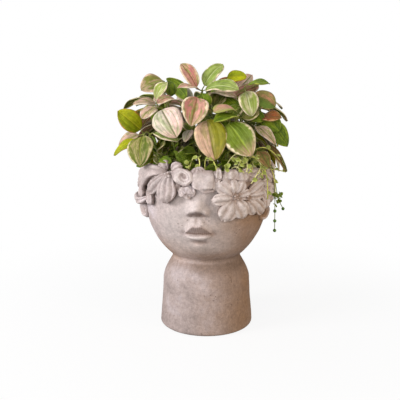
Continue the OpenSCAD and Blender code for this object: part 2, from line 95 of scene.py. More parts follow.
# The light that the paper throws up at the object is held down
sheet_colour = add(tree, "Mix", {0: seen, 6: linear("#9a9795"), 7: linear("#efefef")}, data_type="RGBA")
sheet = add(tree, "BsdfDiffuse", {"Color": sheet_colour})
glow = add(tree, "Emission", {"Color": WHITE})
spread = add(tree, "VectorMath", {0: add(tree, "TexCoord").outputs["Object"]}, operation="LENGTH")
paleness = add(tree, "MapRange", (spread, 0.12, 0.6, 0.88, 1.0), **SMOOTH)
share = add(tree, "Math", (seen, paleness), operation="MULTIPLY")
add(tree, "OutputMaterial", {0: add(tree, "MixShader", (share, sheet, glow))})
floor.data.materials.append(paper)

world = bpy.context.scene.world or bpy.data.worlds.new("Studio")
bpy.context.scene.world = world
world.use_nodes = True
tree = world.node_tree
tree.nodes.clear()
surround = add(tree, "Background", {"Color": (0.97, 0.98, 1.0, 1), "Strength": 0.42})
backdrop = add(tree, "Background", {"Color": WHITE})
add(tree, "OutputWorld", {0: add(tree, "MixShader", (seen_directly(tree), surround, backdrop))})

AIM = Vector((0, 0, 0.2))


def lamp(name, place, size, power, colour):
    """A square soft lamp at a place, turned to the middle of the object."""
    bpy.ops.object.light_add(type="AREA", location=place)
    made = bpy.context.object
    made.name = name
    made.data.size = size
    made.data.energy = power
    made.data.color = colour
    made.rotation_euler = (AIM - Vector(place)).to_track_quat("-Z", "Y").to_euler()


lamp("key", (-1.4, -0.85, 0.8), 0.7, 24, (1.0, 0.98, 0.985))
lamp("front", (-0.45, -1.65, 0.5), 1.2, 14, (1.0, 0.985, 0.96))
lamp("warm_fill", (1.4, -0.6, 0.5), 0.9, 9.4, (1.0, 0.84, 0.66))

# How the photographer stood: distance in metres, height and angles, and the lens as a length in pixels
EYE_DISTANCE, EYE_HEIGHT = 0.7, 0.281
AZIMUTH, PITCH = math.radians(7.6), math.radians(8.8)
FOCAL_PX, PICTURE_PX, LEFT_OF_MIDDLE_PX, SENSOR_MM = 510, 400, 6.5, 36
camera = fresh(bpy.ops.object.camera_add)
camera.location = (EYE_DISTANCE * math.sin(AZIMUTH), -EYE_DISTANCE * math.cos(AZIMUTH), EYE_HEIGHT)
camera.rotation_euler = (math.pi / 2 - PITCH, 0, AZIMUTH + math.atan(LEFT_OF_MIDDLE_PX / FOCAL_PX))
camera.data.lens = SENSOR_MM * FOCAL_PX / PICTURE_PX
camera.data.clip_start = 0.05
bpy.context.scene.camera = camera
bpy.context.scene.view_settings.view_transform = "Standard"

# Casting: bowl, face and hollow neck, one piece of sandy cement poured in a mould.
# The profile is drawn once round its wall and spun, and the face is then modelled into the skin.
POT_H, THROAT_H, FOOT_R, SHOULDER_R, SHOULDER_H = 220.0, 95.0, 65.0, 60.5, 60.0
THROAT_R, HEAD_R, BROW_DROP, RIM_TAPER = 47.5, 85.0, 35.0, 2.0
HEAD_WALL, NECK_WALL, FLOOR_LIFT, FLOOR_T, DRAIN_R, EDGE_R = 10.0, 9.0, 17.0, 13.0, 6.0, 4.0
HEAD_Z = THROAT_H + 4.6
WIDEST_Z = POT_H - BROW_DROP
FLOOR_Z = THROAT_H + FLOOR_LIFT
HOLLOW_TOP = FLOOR_Z - FLOOR_T
RIM_R = HEAD_R - RIM_TAPER
BOWL_R = HEAD_R - HEAD_WALL
HEAD_DEPTH = (WIDEST_Z - HEAD_Z) / math.sqrt(1 - (THROAT_R / HEAD_R) ** 2)


def neck_side(z):
    """Outer radius of the neck: a cone from the foot, drawn in over the shoulder to the throat."""
    rise = np.clip((z - SHOULDER_H) / (THROAT_H - SHOULDER_H), 0, 1)
    upper = THROAT_R + (SHOULDER_R - THROAT_R) * np.cos(math.pi / 2 * rise)
    return np.where(z < SHOULDER_H, FOOT_R + (SHOULDER_R - FOOT_R) * z / SHOULDER_H, upper)


def side(z):
    """Outer radius of the plain casting at heights z, in millimetres."""
    z = np.asarray(z, float)
    bowl = HEAD_R * np.sqrt(np.clip(1 - ((WIDEST_Z - z) / HEAD_DEPTH) ** 2, 0, 1))
    brow = HEAD_R - RIM_TAPER * np.clip((z - WIDEST_Z) / BROW_DROP, 0, 1) ** 2
    head = np.where(z < WIDEST_Z, np.maximum(bowl, THROAT_R), brow)
    return np.where(z < HEAD_Z, np.where(z < THROAT_H, neck_side(z), THROAT_R), head)


def wall_profile():
    """Points (radius, height) once round the wall, from the foot's inner edge outwards and back."""
    arc = np.radians(np.arange(0, 91, 15))
    foot = [(neck_side(EDGE_R) - EDGE_R * (1 - math.sin(a)), EDGE_R * (1 - math.cos(a))) for a in arc]
    neck = [(neck_side(z), z) for z in np.linspace(EDGE_R, THROAT_H, 40)[1:]]
    lift = np.linspace(0.04, 1, 96)
    head = [(side(z), z) for z in HEAD_Z + (WIDEST_Z - HEAD_Z) * lift ** 1.25]
    brow = [(side(z), z) for z in np.linspace(WIDEST_Z, POT_H - EDGE_R, 30)[1:]]
    rim_in = side(POT_H - EDGE_R) - EDGE_R
    rim = [(rim_in + EDGE_R * math.cos(a), POT_H - EDGE_R * (1 - math.sin(a))) for a in arc[1:]]
    lip = [(BOWL_R + EDGE_R / 2, POT_H - 0.3), (BOWL_R, POT_H - EDGE_R / 2)]
    inner = [(side(z) - HEAD_WALL, z) for z in np.linspace(WIDEST_Z, FLOOR_Z, 18)]
    floor_ring = [(r, FLOOR_Z) for r in np.linspace(inner[-1][0], DRAIN_R, 6)[1:]]
    bend = HOLLOW_TOP - NECK_WALL
    top_r = min(neck_side(bend), THROAT_R) - NECK_WALL
    crown = [(top_r - NECK_WALL * (1 - math.sin(a)), bend + NECK_WALL * math.cos(a)) for a in arc[::2]]
    hollow = [(neck_side(z) - NECK_WALL, z) for z in np.linspace(bend, 0, 14)[1:]]
    return (foot + neck + [(THROAT_R, (THROAT_H + HEAD_Z) / 2), (THROAT_R, HEAD_Z)]
            + head + brow + rim + lip + inner + floor_ring
            + [(DRAIN_R, HOLLOW_TOP)] + crown + hollow)


def bell(x, width):
    """A smooth hump of height 1 and a given width."""
    return np.exp(-(x / width) ** 2)


def ease(x, low, high):
    """A smooth step from 0 at one value to 1 at another."""
    x = np.clip((x - low) / (high - low), 0, 1)
    return x * x * (3 - 2 * x)


MOUTH_Z, MOUTH_HALF = 141.0, 18.0
# Soft swellings of the face and its mirrored side, one in the middle counted twice: place across, height,
# spread across and up, and how far it stands out, all in millimetres
SWELLINGS = {
    "nose tip": (0, 173.8, 7.2, 5.6, 2.5), "nostril": (5.4, 166.8, 2.8, 2.0, -3.0),
    "under the lip": (0, MOUTH_Z - 12, 12, 3.4, -1.2), "mouth corner": (19.5, MOUTH_Z, 3.2, 3.6, -1.6),
    "eye socket": (19, 184, 9.5, 9, -2.6), "cheek": (34, 158, 15, 15, 1.6), "chin": (0, 121, 15, 9, 0.9)}
# Painted highlights and painted shade on the face: place across, height, spread across and up, and how much
# lighter
FACE_PAINTED_LIGHT = {
    "bridge": (-3, 177, 9, 8, 0.14), "lower lip": (0, 136.4, 13, 3.6, 0.36), "nostril": (3, 168, 5, 3, -0.2),
    "mouth line": (0, 141, 16, 1.4, -0.36), "cheek": (-45, 150, 25, 30, 0.12),
    "under the lip": (1, 129.4, 9, 2.8, -0.55), "right corner": (19, 141, 4, 5, -0.2),
    "left corner": (-19, 141, 4, 5, -0.2)}


def lip_top(x):
    """Height of the upper lip's edge, a soft M."""
    return MOUTH_Z + 16.0 * (1 - np.clip(np.abs(x) / MOUTH_HALF, 0, 1) ** 1.2) - 4.2 * bell(x, 3.2)


def face_relief(x, z):
    """How far the face stands off the plain head, by the place across and the height, in millimetres."""
    bridge = ease(z, 163.4, 174.5) * (1 - ease(z, 174, 202)) ** 1.3
    nose = 9.4 * bridge * bell(x, 8.4 + 1.2 * ease(176 - z, -8, 6))
    wings = 6.8 * (bell(x - 10.2, 4.2) + bell(x + 10.2, 4.2)) * bell(z - 169.6, 4.8) * ease(z, 163.4, 167)
    across = np.clip(np.abs(x) / MOUTH_HALF, 0, 1)
    top = lip_top(x)
    body = (1 - across ** 2.2) ** 0.8
    share = np.clip((z - MOUTH_Z) / np.maximum(top - MOUTH_Z, 0.5), 0, 1)
    past_edge = (1 - 0.42 * ease(z - top, -1.4, 1.4)) * (1 - ease(z - top, 0, 11))
    upper = body * (0.6 + 8.2 * share ** 0.8) * past_edge
    upper = np.where((z >= MOUTH_Z) & (across < 1), upper, 0)
    low = 9.2 * (1 - across ** 2.4) ** 0.7
    dip = np.clip((MOUTH_Z - z) / np.maximum(low, 0.5), 0, 2)
    lower = body * 9.0 * ease(dip, 0.0, 0.22) * (1 - ease(dip, 0.5, 1.08))
    lower = np.where((z < MOUTH_Z) & (across < 1), lower, 0)
    seam = -1.5 * bell(z - MOUTH_Z, 0.9) * (1 - across ** 4)
    philtrum = -0.9 * bell(x, 2.4) * ease(z, 154, 158) * (1 - ease(z, 163, 166))
    relief = nose + wings + upper + lower + seam + philtrum
    for x_at, z_at, wide, high, out in SWELLINGS.values():
        relief = relief + out * (bell(x - x_at, wide) + bell(x + x_at, wide)) * bell(z - z_at, high)
    return relief


def hand_made(points, size, depth):
    """Uneven skin of a hand-finished casting: smooth noise of a given size and depth, in metres."""
    return np.array([noise.noise(Vector(p) / size) for p in points]) * depth


COLUMNS = 380
casting = fresh(bpy.ops.mesh.primitive_plane_add, size=0.001)
casting.name = "cast_head"
bpy.ops.object.mode_set(mode="EDIT")
bpy.ops.mesh.merge(type="CENTER")
profile = wall_profile()
bpy.ops.transform.translate(value=(0, -profile[0][0] * MM, profile[0][1] * MM))
for (r0, z0), (r1, z1) in zip(profile, profile[1:] + profile[:1]):
    bpy.ops.mesh.extrude_vertices_move(
        TRANSFORM_OT_translate={"value": (0, (r0 - r1) * MM, (z1 - z0) * MM)})
bpy.ops.mesh.select_all(action="SELECT")
bpy.ops.mesh.spin(steps=COLUMNS, angle=2 * math.pi, center=(0, 0, 0), axis=(0, 0, 1), dupli=False)
bpy.ops.mesh.select_all(action="SELECT")
bpy.ops.mesh.remove_doubles(threshold=0.00001)
bpy.ops.mesh.normals_make_consistent(inside=False)
bpy.ops.object.mode_set(mode="OBJECT")


def points_of(mesh):
    """The places of a mesh's vertices, one row each."""
    co = np.empty(len(mesh.vertices) * 3)
    mesh.vertices.foreach_get("co", co)
    return co.reshape(-1, 3)


def set_points(mesh, co):
    """Puts a mesh's vertices at these places."""
    mesh.vertices.foreach_set("co", np.ascontiguousarray(co, float).ravel())
    mesh.update()


def set_value(mesh, name, values):
    """A named number on every vertex, for the material to read."""
    found = mesh.attributes.get(name) or mesh.attributes.new(name, "FLOAT", "POINT")
    found.data.foreach_set("value", np.asarray(values, np.float32))


# Columns are drawn together towards the face, where the modelling is fine
co = points_of(casting.data)
turn = np.arctan2(co[:, 0], -co[:, 1])
radius = np.hypot(co[:, 0], co[:, 1])
share = turn / math.pi
turn = math.pi * (0.45 * share + 0.55 * share ** 3)
z = co[:, 2] / MM
outside = (radius > np.where(z > THROAT_H, 0.5, 0.93) * side(z) * MM) & (radius / MM > side(z) - 5)
x = turn * radius / MM
front = np.abs(turn) < 1.2
relief = np.where(outside & front & (z > THROAT_H + 8) & (z < 205), face_relief(x, z), 0)
plain = np.stack([radius * np.sin(turn), -radius * np.cos(turn), co[:, 2]], axis=1)
wobble = hand_made(plain, 0.028, 0.0007) + hand_made(plain, 0.009, 0.00022)
wobble = np.where(outside & (z > 1.0), wobble, 0) * ease(z, 0, 6)
radius = radius + relief * MM + wobble
set_points(casting.data, np.stack([radius * np.sin(turn), -radius * np.cos(turn), co[:, 2]], axis=1))
# Painted shadow under the nose and painted shade on the upper lip, which faces down; the front of the face is
# painted lighter overall
painted_shadow_under_nose = ease(z, 162.6, 165.6) * (1 - ease(z + 0.8 * np.abs(x), 170.5, 177.5))
painted_shadow_under_nose = painted_shadow_under_nose * (1 - ease(np.abs(x), 8, 13))
painted_shade_upper_lip = ease(z, 139.8, 141.6) * (1 - ease(z - lip_top(x), -2.0, 1.0)) * (1 - ease(np.abs(x), 16, 19))
face_painted_light = 0.36 * bell(x, 60) - 0.5 * painted_shadow_under_nose - painted_shade_upper_lip * (0.46 + 0.12 * np.sin(2.6 * x))
for x_at, z_at, wide, high, amount in FACE_PAINTED_LIGHT.values():
    face_painted_light = face_painted_light + amount * bell(x - x_at, wide) * bell(z - z_at, high)
# Painted shade: the flanks are darker under the chin, in the throat and towards the foot, most to the
# viewer's right
shaded = 0.3 * (1 - ease(z, 101, 120)) * ease(z, 96, 100)
shaded = shaded + 0.42 * bell(z - 90, 9) + 0.3 * bell(z - 97.5, 3.5)
shaded = shaded * (0.3 + 0.7 * ease(radius * np.sin(turn) / MM, -34, 4)) + 0.06 * (1 - ease(z, 20, 96))
# The tone the material reads: a plain base, plus the face's painted highlights and shade, less the painted
# shade on the flanks
tone = 0.38 + np.where(front & outside & (z > THROAT_H), face_painted_light, 0) - np.where(outside, shaded, 0)
set_value(casting.data, "wear_and_painted_light", np.clip(tone, 0, 1))
bpy.ops.object.shade_smooth()

cement, tree = bare_material("Sand cast cement")
# Poured cement with sharp sand: matt and greyish pink, with open pores and grit. Painted highlights lighten
# the ridges and the face, and painted brown shade darkens the hollows, the throat and the viewer's right
# flank.
# Its patterns' sizes are in millimetres; the grit, sharp sand under a millimetre across, is drawn twice as
# coarse so that it shows.
CLOUD, STREAK, PORE_PATCH, LUMP, GRIT = 45.45, 71.43, 16.67, 4.762, 1.613
place = add(tree, "TexCoord").outputs["Object"]
clouds = add(tree, "TexNoise", {"Vector": place, "Scale": 1000 / CLOUD, "Detail": 6.0, "Roughness": 0.66})
tint = add(tree, "ValToRGB", {0: clouds})
for step, at, colour in zip(tint.color_ramp.elements, (0.34, 0.68), ("#9f9391", "#d0c5c8")):
    step.position = at
    step.color = linear(colour)
tint.color_ramp.elements.new(0.5).color = linear("#baaba8")
spot = add(tree, "SeparateXYZ", {0: place})
# Painted warm shade down the viewer's right flank, less higher up, and a painted brown shadow round the
# throat under the chin, broken up by streaks
less_above = add(tree, "MapRange", (spot.outputs["Z"], 0.15, 0.21, 0.0, -0.032))
across_flank = add(tree, "Math", (spot.outputs["X"], less_above), operation="ADD")
painted_flank_shade = add(tree, "MapRange", (across_flank, -0.028, 0.07, 0.0, 0.9), **SMOOTH)
over_throat = add(tree, "Math", (spot.outputs["Z"], 0.107), operation="SUBTRACT")
off_throat = add(tree, "Math", {0: over_throat}, operation="ABSOLUTE")
painted_chin_shadow = add(tree, "MapRange", (off_throat, 0.0, 0.034, 0.65, 0.0), **SMOOTH)
painted_shade = add(tree, "Math", (painted_flank_shade, painted_chin_shadow), operation="MAXIMUM")
streaks = add(tree, "TexNoise", {"Vector": place, "Scale": 1000 / STREAK, "Detail": 3.0})
streak = add(tree, "MapRange", (streaks, 0.3, 0.65, 0.6, 1.15))
painted_shade_share = add(tree, "Math", (painted_shade, streak), operation="MULTIPLY", use_clamp=True)
painted_shaded_tint = add(tree, "Mix", {0: painted_shade_share, 6: tint, 7: linear("#a07f63")}, data_type="RGBA")
# Painted highlights lighten towards a pale tone and painted shade darkens towards brown, as the pieces'
# values say
wear_and_painted_light = add(tree, "Attribute", attribute_name="wear_and_painted_light")
wear_and_light = add(tree, "MapRange", (wear_and_painted_light.outputs["Fac"], 0.0, 1.0, -0.9, 0.9))
lighter_share = add(tree, "Math", (wear_and_light, 0.0), operation="MAXIMUM")
lighter = add(tree, "Mix", {0: lighter_share, 6: painted_shaded_tint, 7: linear("#e0d5d1")}, data_type="RGBA")
darker_share = add(tree, "Math", (wear_and_light, -0.75), operation="MULTIPLY", use_clamp=True)
darker = add(tree, "Mix", {0: darker_share, 6: lighter, 7: linear("#6f5a49")}, data_type="RGBA")
grit = add(tree, "TexNoise", {"Vector": place, "Scale": 1000 / GRIT, "Roughness": 0.7})
grit_tone = add(tree, "MapRange", (grit, 0.3, 0.7, 0.9, 1.09))
lumps = add(tree, "TexNoise", {"Vector": place, "Scale": 1000 / LUMP, "Detail": 5.0, "Roughness": 0.7})
lump_tone = add(tree, "MapRange", (lumps, 0.32, 0.68, 0.8, 1.13))
both_tones = add(tree, "Math", (grit_tone, lump_tone), operation="MULTIPLY")
grained = add(tree, "Mix", {0: 1.0, 6: darker, 7: both_tones}, data_type="RGBA", blend_type="MULTIPLY")
pores = add(tree, "TexVoronoi", {"Vector": place, "Scale": 1000 / LUMP})
pore = add(tree, "MapRange", (pores, 0.10, 0.24, 1.0, 0.0), **SMOOTH)
crowded = add(tree, "TexNoise", {"Vector": place, "Scale": 1000 / PORE_PATCH})
few = add(tree, "MapRange", (crowded, 0.5, 0.66))
pit = add(tree, "Math", (pore, few), operation="MULTIPLY")
pit_share = add(tree, "Math", (pit, 0.55), operation="MULTIPLY")
pitted = add(tree, "Mix", {0: pit_share, 6: grained, 7: linear("#6d5b4c")}, data_type="RGBA")
height = add(tree, "Math", (grit, pit), operation="SUBTRACT")
skin_height = add(tree, "Math", (height, lumps), operation="ADD")
bump = add(tree, "Bump", {"Strength": 0.85, "Distance": 0.0007, "Height": skin_height})
skin = add(tree, "BsdfPrincipled",
           {"Base Color": pitted, "Roughness": 0.93, "Specular IOR Level": 0.2, "Normal": bump})
add(tree, "OutputMaterial", {0: skin})
casting.data.materials.clear()
casting.data.materials.append(cement)
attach(casting, "planter")
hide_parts("head_casting")

# Ears: a rolled rim round a small hollow, modelled on the head at each temple.
# They and the garland's petals are shaped from one slab, a closed grid of two skins.
EAR_Z, EAR_H, EAR_TURN = 163.0, 22.0, 68.0
slab = fresh(bpy.ops.mesh.primitive_grid_add, x_subdivisions=24, y_subdivisions=22, size=2)
bpy.ops.object.mode_set(mode="EDIT")
bpy.ops.mesh.select_all(action="SELECT")
bpy.ops.mesh.extrude_region_move(TRANSFORM_OT_translate={"value": (0, 0, 1)})
bpy.ops.object.mode_set(mode="OBJECT")


def copy_of(source):
    """A copy of an object with a mesh of its own, and the places of its points."""
    made = source.copy()
    made.data = source.data.copy()
    bpy.context.collection.objects.link(made)
    return made, points_of(made.data)


def new_slab():
    """A copy of the slab, with its places across and along from -1 to 1 and which points are on top."""
    made, co = copy_of(slab)
    return made, co[:, 0], co[:, 1], co[:, 2] > 0.5


def around(turn_deg, r, z):
    """A point in metres by its turn from the face in degrees and its radius and height in millimetres."""
    a = np.radians(turn_deg)
    return np.stack(np.broadcast_arrays(r * np.sin(a) * MM, -r * np.cos(a) * MM, np.asarray(z) * MM), axis=-1)


def select(*pieces):
    """Selects these pieces only, the first as the active one."""
    bpy.ops.object.select_all(action="DESELECT")
    for piece in pieces:
        piece.select_set(True)
    bpy.context.view_layer.objects.active = pieces[0]


def joined(name, parts):
    """One object of several."""
    select(*parts)
    if len(parts) > 1:
        bpy.ops.object.join()
    parts[0].name = name
    return parts[0]


def finish_mesh(piece, material, body, slot, *nodes, merge=0.00002):
    """Merges doubles, turns faces outwards, smooths, gives the piece its finish and body, and hides the CAD
    nodes it replaces.
    """
    select(piece)
    bpy.ops.object.mode_set(mode="EDIT")
    bpy.ops.mesh.select_all(action="SELECT")
    bpy.ops.mesh.remove_doubles(threshold=merge)
    bpy.ops.mesh.normals_make_consistent(inside=False)
    bpy.ops.object.mode_set(mode="OBJECT")
    bpy.ops.object.shade_smooth()
    piece.data.materials.clear()
    piece.data.materials.append(material)
    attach(piece, body)
    if nodes:
        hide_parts(*nodes)
    return piece


ears = []
for ear_side in (1, -1):
    ear, across, up, top = new_slab()
    x, y = across * np.sqrt(1 - up ** 2 / 2), up * np.sqrt(1 - across ** 2 / 2)
    q = np.hypot(x, y)
    roll = bell(q - 0.76, 0.19) * (0.35 + 0.65 * ease(x + 0.4 * y, -0.7, 0.1))
    fold = bell(np.hypot(x - 0.05, y - 0.1) - 0.34, 0.12) * ease(x, -0.2, 0.25)
    lobe = bell(np.hypot(x + 0.2, y + 0.68), 0.3) + 0.6 * bell(np.hypot(x + 0.6, y + 0.05), 0.2)
    hollow = bell(np.hypot(x + 0.05, y + 0.12), 0.26)
    height = 1.4 + 5.0 * roll + 2.2 * fold + 2.4 * lobe - 1.2 * hollow
    tilt = 2.4 * ease(x, -0.6, 1.0)
    z = EAR_Z + y * EAR_H / 2
    turn_deg = ear_side * (EAR_TURN + np.degrees(x * 0.38 * EAR_H * (1 + 0.2 * y) / HEAD_R))
    lifted = np.where(top, height + tilt, -0.6 + tilt * ease(q, 0.7, 1.0))
    set_points(ear.data, around(turn_deg, side(z) + lifted, z))
    # Painted highlight on the rolled rim, fold and lobe, and painted shade in the hollow
    shade = 0.2 + 0.6 * roll + 0.4 * fold + 0.4 * lobe - 0.6 * hollow
    set_value(ear.data, "wear_and_painted_light", np.where(top, np.clip(shade, 0, 1), 0.2))
    ears.append(ear)
finish_mesh(joined("ears", ears), cement, "planter", "cement")

# Garland: big flowers and leaves pressed round the brow, cast with the head in the same cement.
# Every petal is ribbed lengthwise with raised edges, laid on the curve of the head and undercut at its tip.
GARLAND_LOW = 100.0


def sway(degrees):
    """The sine of an angle in degrees, which varies what repeats."""
    return math.sin(math.radians(degrees))


def petal(turn_at, z_at, way, length, width, lift, folds=2, bend=0, cup=0, root=0.34, tone=0):
    """One petal from its root on the head. Its way is in degrees from up to the viewer's right."""
    made, s, t, top = new_slab()
    t = 1 - (0.5 - t / 2) ** 1.3
    own = way * 0.7 + turn_at
    phase = (s + 1) * folds / 2 + (0.06 * np.sin(5 * t + own) + 0.15 * np.sin(1.7 * own)) * (1 - s ** 2)
    grown = ease(t, 0.02, 0.2) * (1 - 0.7 * ease(t, 0.85, 1.0))
    rib = (0.5 + 0.5 * np.cos(2 * math.pi * phase)) * grown
    valley = np.abs(np.sin(math.pi * phase)) ** 9 * grown * (folds > 1)
    blunt = np.where(t < 0.64, root + (1 - root) * np.sin(math.pi / 2 * t / 0.64),
                     np.clip(1 - ((t - 0.64) / 0.375) ** 2.4, 0.003, 1) ** 0.5)
    half = width / 2 * blunt * (1 + 0.2 * np.sin(6.5 * t + own) * t * (1 - t))
    reach = t * (1 - 0.03 * np.cos(2 * math.pi * phase) * t ** 3)
    across = s * half + 0.06 * width * np.sin(3.0 * t + own) * t
    start, sweep = math.radians(way), math.radians(bend) or 1e-6
    heading = start + sweep * reach
    arc = length / sweep * (math.cos(start) - np.cos(heading)) + across * np.cos(heading)
    z = z_at + length / sweep * (np.sin(heading) - math.sin(start)) - across * np.sin(heading)
    rise = ease(t, -0.1 - 0.5 * root, 0.6 - 0.3 * root) * (1 - 0.3 * ease(t, 0.82, 1.05))
    spine = 1.6 + (lift - 1.6) * rise
    rib_rise = 0 if cup else 3.4 if folds == 1 else 1.5
    height = spine * (1 - 0.36 * np.abs(s) ** 3) + rib_rise * (rib - 0.4) - 0.6 * valley
    q = np.hypot((t - 0.58 - 0.12 * s) / 0.4, 1.05 * (s + 0.12))
    curl = np.cos(2 * math.pi * (q / 0.42 + np.arctan2(s, t - 0.5) / 6.3))
    ring = curl * bell(q - 0.5, 0.35) if cup else 0 * q
    height = np.maximum(height - cup * bell(q, 0.5) + 0.9 * ring, 0.4)
    free = np.maximum(ease(t, 0.45, 0.95), ease(np.abs(s), 0.7, 1) * 0.6)
    under = -0.6 + np.maximum(height - 2.8, 0) * free
    turn_deg, skin_r = turn_at + np.degrees(arc / HEAD_R), side(np.clip(z, GARLAND_LOW, POT_H))
    base = around(turn_deg, skin_r, z)
    rough = hand_made(base, 0.007, 0.9) + hand_made(base, 0.0025, 0.35)
    lifted = np.where(top, height + rough * ease(height, 0.5, 3), under)
    set_points(made.data, around(turn_deg, skin_r + lifted, z))
    # Painted light and shade: lighter on the ribs, on raised bumps and on flowers to the viewer's right where
    # the light is weaker, darker in the valleys, at the root, along the edges between petals, by tone for
    # leaves that lie behind, and in a cup's hollow
    shade = 0.58 + tone + 0.25 * float(ease(turn_at, -10, 25)) + (0 if cup else 0.08) * rib
    shade = shade - 0.18 * valley + 0.2 * rough
    shade = shade - 0.4 * (1 - ease(t, 0.02, 0.25)) - 0.3 * ease(np.abs(s), 0.86, 1.0)
    shade = shade + (0.3 * ring - 0.5 * bell(q, 0.3) + 0.2 if cup else 0)
    set_value(made.data, "wear_and_painted_light", np.clip(np.where(top, shade, 0.05), 0, 1))
    return made


def boss(turn_at, z_at, out, r, lumps):
    """The lumpy middle of a flower, or a bud."""
    made = fresh(bpy.ops.mesh.primitive_uv_sphere_add, segments=40, ring_count=26, radius=1)
    co = points_of(made.data)
    bulge = 1 + 0.2 * np.sin(lumps * np.arctan2(co[:, 0], co[:, 2])) * (1 - co[:, 1] ** 2)
    bulge = bulge + 0.1 * np.sin(9 * co[:, 1]) + hand_made(co * r * MM, 0.003, 0.25)
    co = co * bulge[:, None]
    z = z_at + co[:, 2] * r
    set_points(made.data, around(turn_at + np.degrees(co[:, 0] * r / HEAD_R),
                                 side(np.clip(z, GARLAND_LOW, POT_H)) + out - co[:, 1] * r * 0.8, z))
    # Painted highlight on the lumps, painted shade between them
    set_value(made.data, "wear_and_painted_light", np.clip(0.45 + 0.5 * (bulge - 1) / 0.25, 0, 1))
    return made


# Each petal: turn and height of its root, way, length, width, lift, and where they aren't as in the
# function, folds, bend, cup and width of the root. Each boss: turn, height, how far out, radius, lumps
GARLAND = {
    "garland_bloom_left": [
        (-27, 215, 250, 26, 18, 4, 3), (-28, 217, 294, 62, 19, 12, 1, -100),
        (-26, 217, 230, 42, 17, 9, 2, 6), (-20, 219, 110, 27, 20, 11, 1, 0, 6, 0.7),
        (-22, 221, 56, 15, 13, 7, 2, 0, 0, 0.6), (-28, 221, 330, 13, 16, 6),
        (-24.5, 219, 184, 38, 25, 12, 3)],
    "garland_bud_brow": [(-11, 203, 168, 14, 14, 8), (-4.5, 204, 184, 15, 12, 8)],
    "garland_petal_brow": [(5.5, 222, 181, 25, 26, 9, 1, 0, 0, 0.8), (-4, 222, 180, 14, 12, 6)],
    "garland_petal_rim": [
        (27.5, 223, 182, 13, 18, 8, 2, 0, 0, 0.85), (17.5, 225, 186, 14, 7, 9, 1, 0, 0, 0.6),
        (37, 221, 184, 13, 17, 7, 2, 0, 0, 0.8), (16, 215, 186, 18, 10, 6, 1)],
    "garland_bloom_right": [
        (30.5, 191, 349, 20, 13, 7), (32, 191, 30, 19, 14, 7), (30, 190, 307, 26, 18, 8),
        (33, 189, 82, 19, 13, 7), (30, 188.5, 263, 27, 16, 9), (32, 187, 157, 27, 21, 10),
        (30, 186, 206, 29, 23, 10)],
    "garland_bloom_temple": [
        (36, 218, 86, 28, 13, 7), (44, 211, 76, 24, 14, 7), (42, 190, 62, 32, 15, 8),
        (56, 203, 100, 36, 17, 8), (42, 188, 84, 30, 14, 8), (46, 187, 134, 34, 18, 9),
        (42, 185, 150, 23, 17, 9), (60, 198, 150, 30, 20, 9), (72, 203, 165, 28, 18, 10),
        (66, 190, 178, 20, 16, 10), (84, 200, 150, 25, 18, 9)],
    "garland_leaf_temple": [(-48, 191, 166, 17, 12, 8), (-44, 189, 232, 72, 10, 14, 1, 68)],
    "garland_bloom_ear": [
        (-66, 206, 22, 19, 17, 8), (-66, 204, 92, 16, 15, 8), (-68, 203, 244, 27, 15, 9),
        (-70, 204, 306, 19, 17, 8), (-67, 202, 168, 22, 17, 9)]}
BOSSES = {"garland_bloom_left": (-24, 216, 8, 3.4, 4), "garland_bud_brow": (-8, 195, 5, 7.4, 5),
          "garland_bloom_right": (31, 189, 8, 3.0, 5), "garland_bloom_temple": (42.5, 187.5, 7, 3.2, 5),
          "garland_bloom_ear": (-67.5, 203.5, 7, 3.8, 5)}
for k in range(6):
    middle, height_at = 82 + 34.5 * k, 198 + 4 * math.cos(math.pi * k)
    name = f"garland_bloom_back_{k + 1}"
    GARLAND[name] = [(middle, height_at, 72 * i + 8, 26 + 2 * sway(130 * i), 21, 9, 3) for i in range(5)]
    BOSSES[name] = (middle, height_at, 7, 4.2, 5)
for name, rows in GARLAND.items():
    parts = [petal(*row) for row in rows]
    if name in BOSSES:
        parts.append(boss(*BOSSES[name]))
    finish_mesh(joined(name + "_cast", parts), cement, "planter", "cement", name)
# Leaves fill the band between the flowers, and a row of them hangs over the rim; both get painted shade,
# darker than the flowers
fill = []
for k in range(44):
    leaf_turn = (8.2 * k + 180) % 360 - 180
    front = float(bell((leaf_turn - 2) / 24, 1.0))
    way = 137.5 * k
    if front > 0.3 and math.cos(math.radians(way)) < -0.2:
        way = way + 180
    leaf_z = 199 + 11 * (1 - 0.8 * front) * math.sin(2.4 * k) + 9 * front
    fill.append(petal(leaf_turn, leaf_z, way, 18 + 3 * math.sin(k), 14, 5, 1 + k % 2, tone=-0.3))
for k in range(28):
    leaf_turn = 360 * k / 28 + 5 * math.sin(3 * k)
    fill.append(petal(leaf_turn, 220.5, 180 + 22 * math.sin(5 * k), 14, 17, 5.5, 1 + k % 2, 0, 0, 0.8, -0.16))
finish_mesh(joined("garland_filling", fill), cement, "planter", "cement")
bpy.data.objects.remove(slab)

# Potting soil: the root ball as the frame has it, dark peat with crumbs and a web of fine roots.
# Under it lie loose fired clay pebbles on a moulded plastic mesh over the drain.
# How long the bends of a root are and how far apart the roots lie, in millimetres
ROOT_BEND, ROOT_GAP = 29.41, 11.364


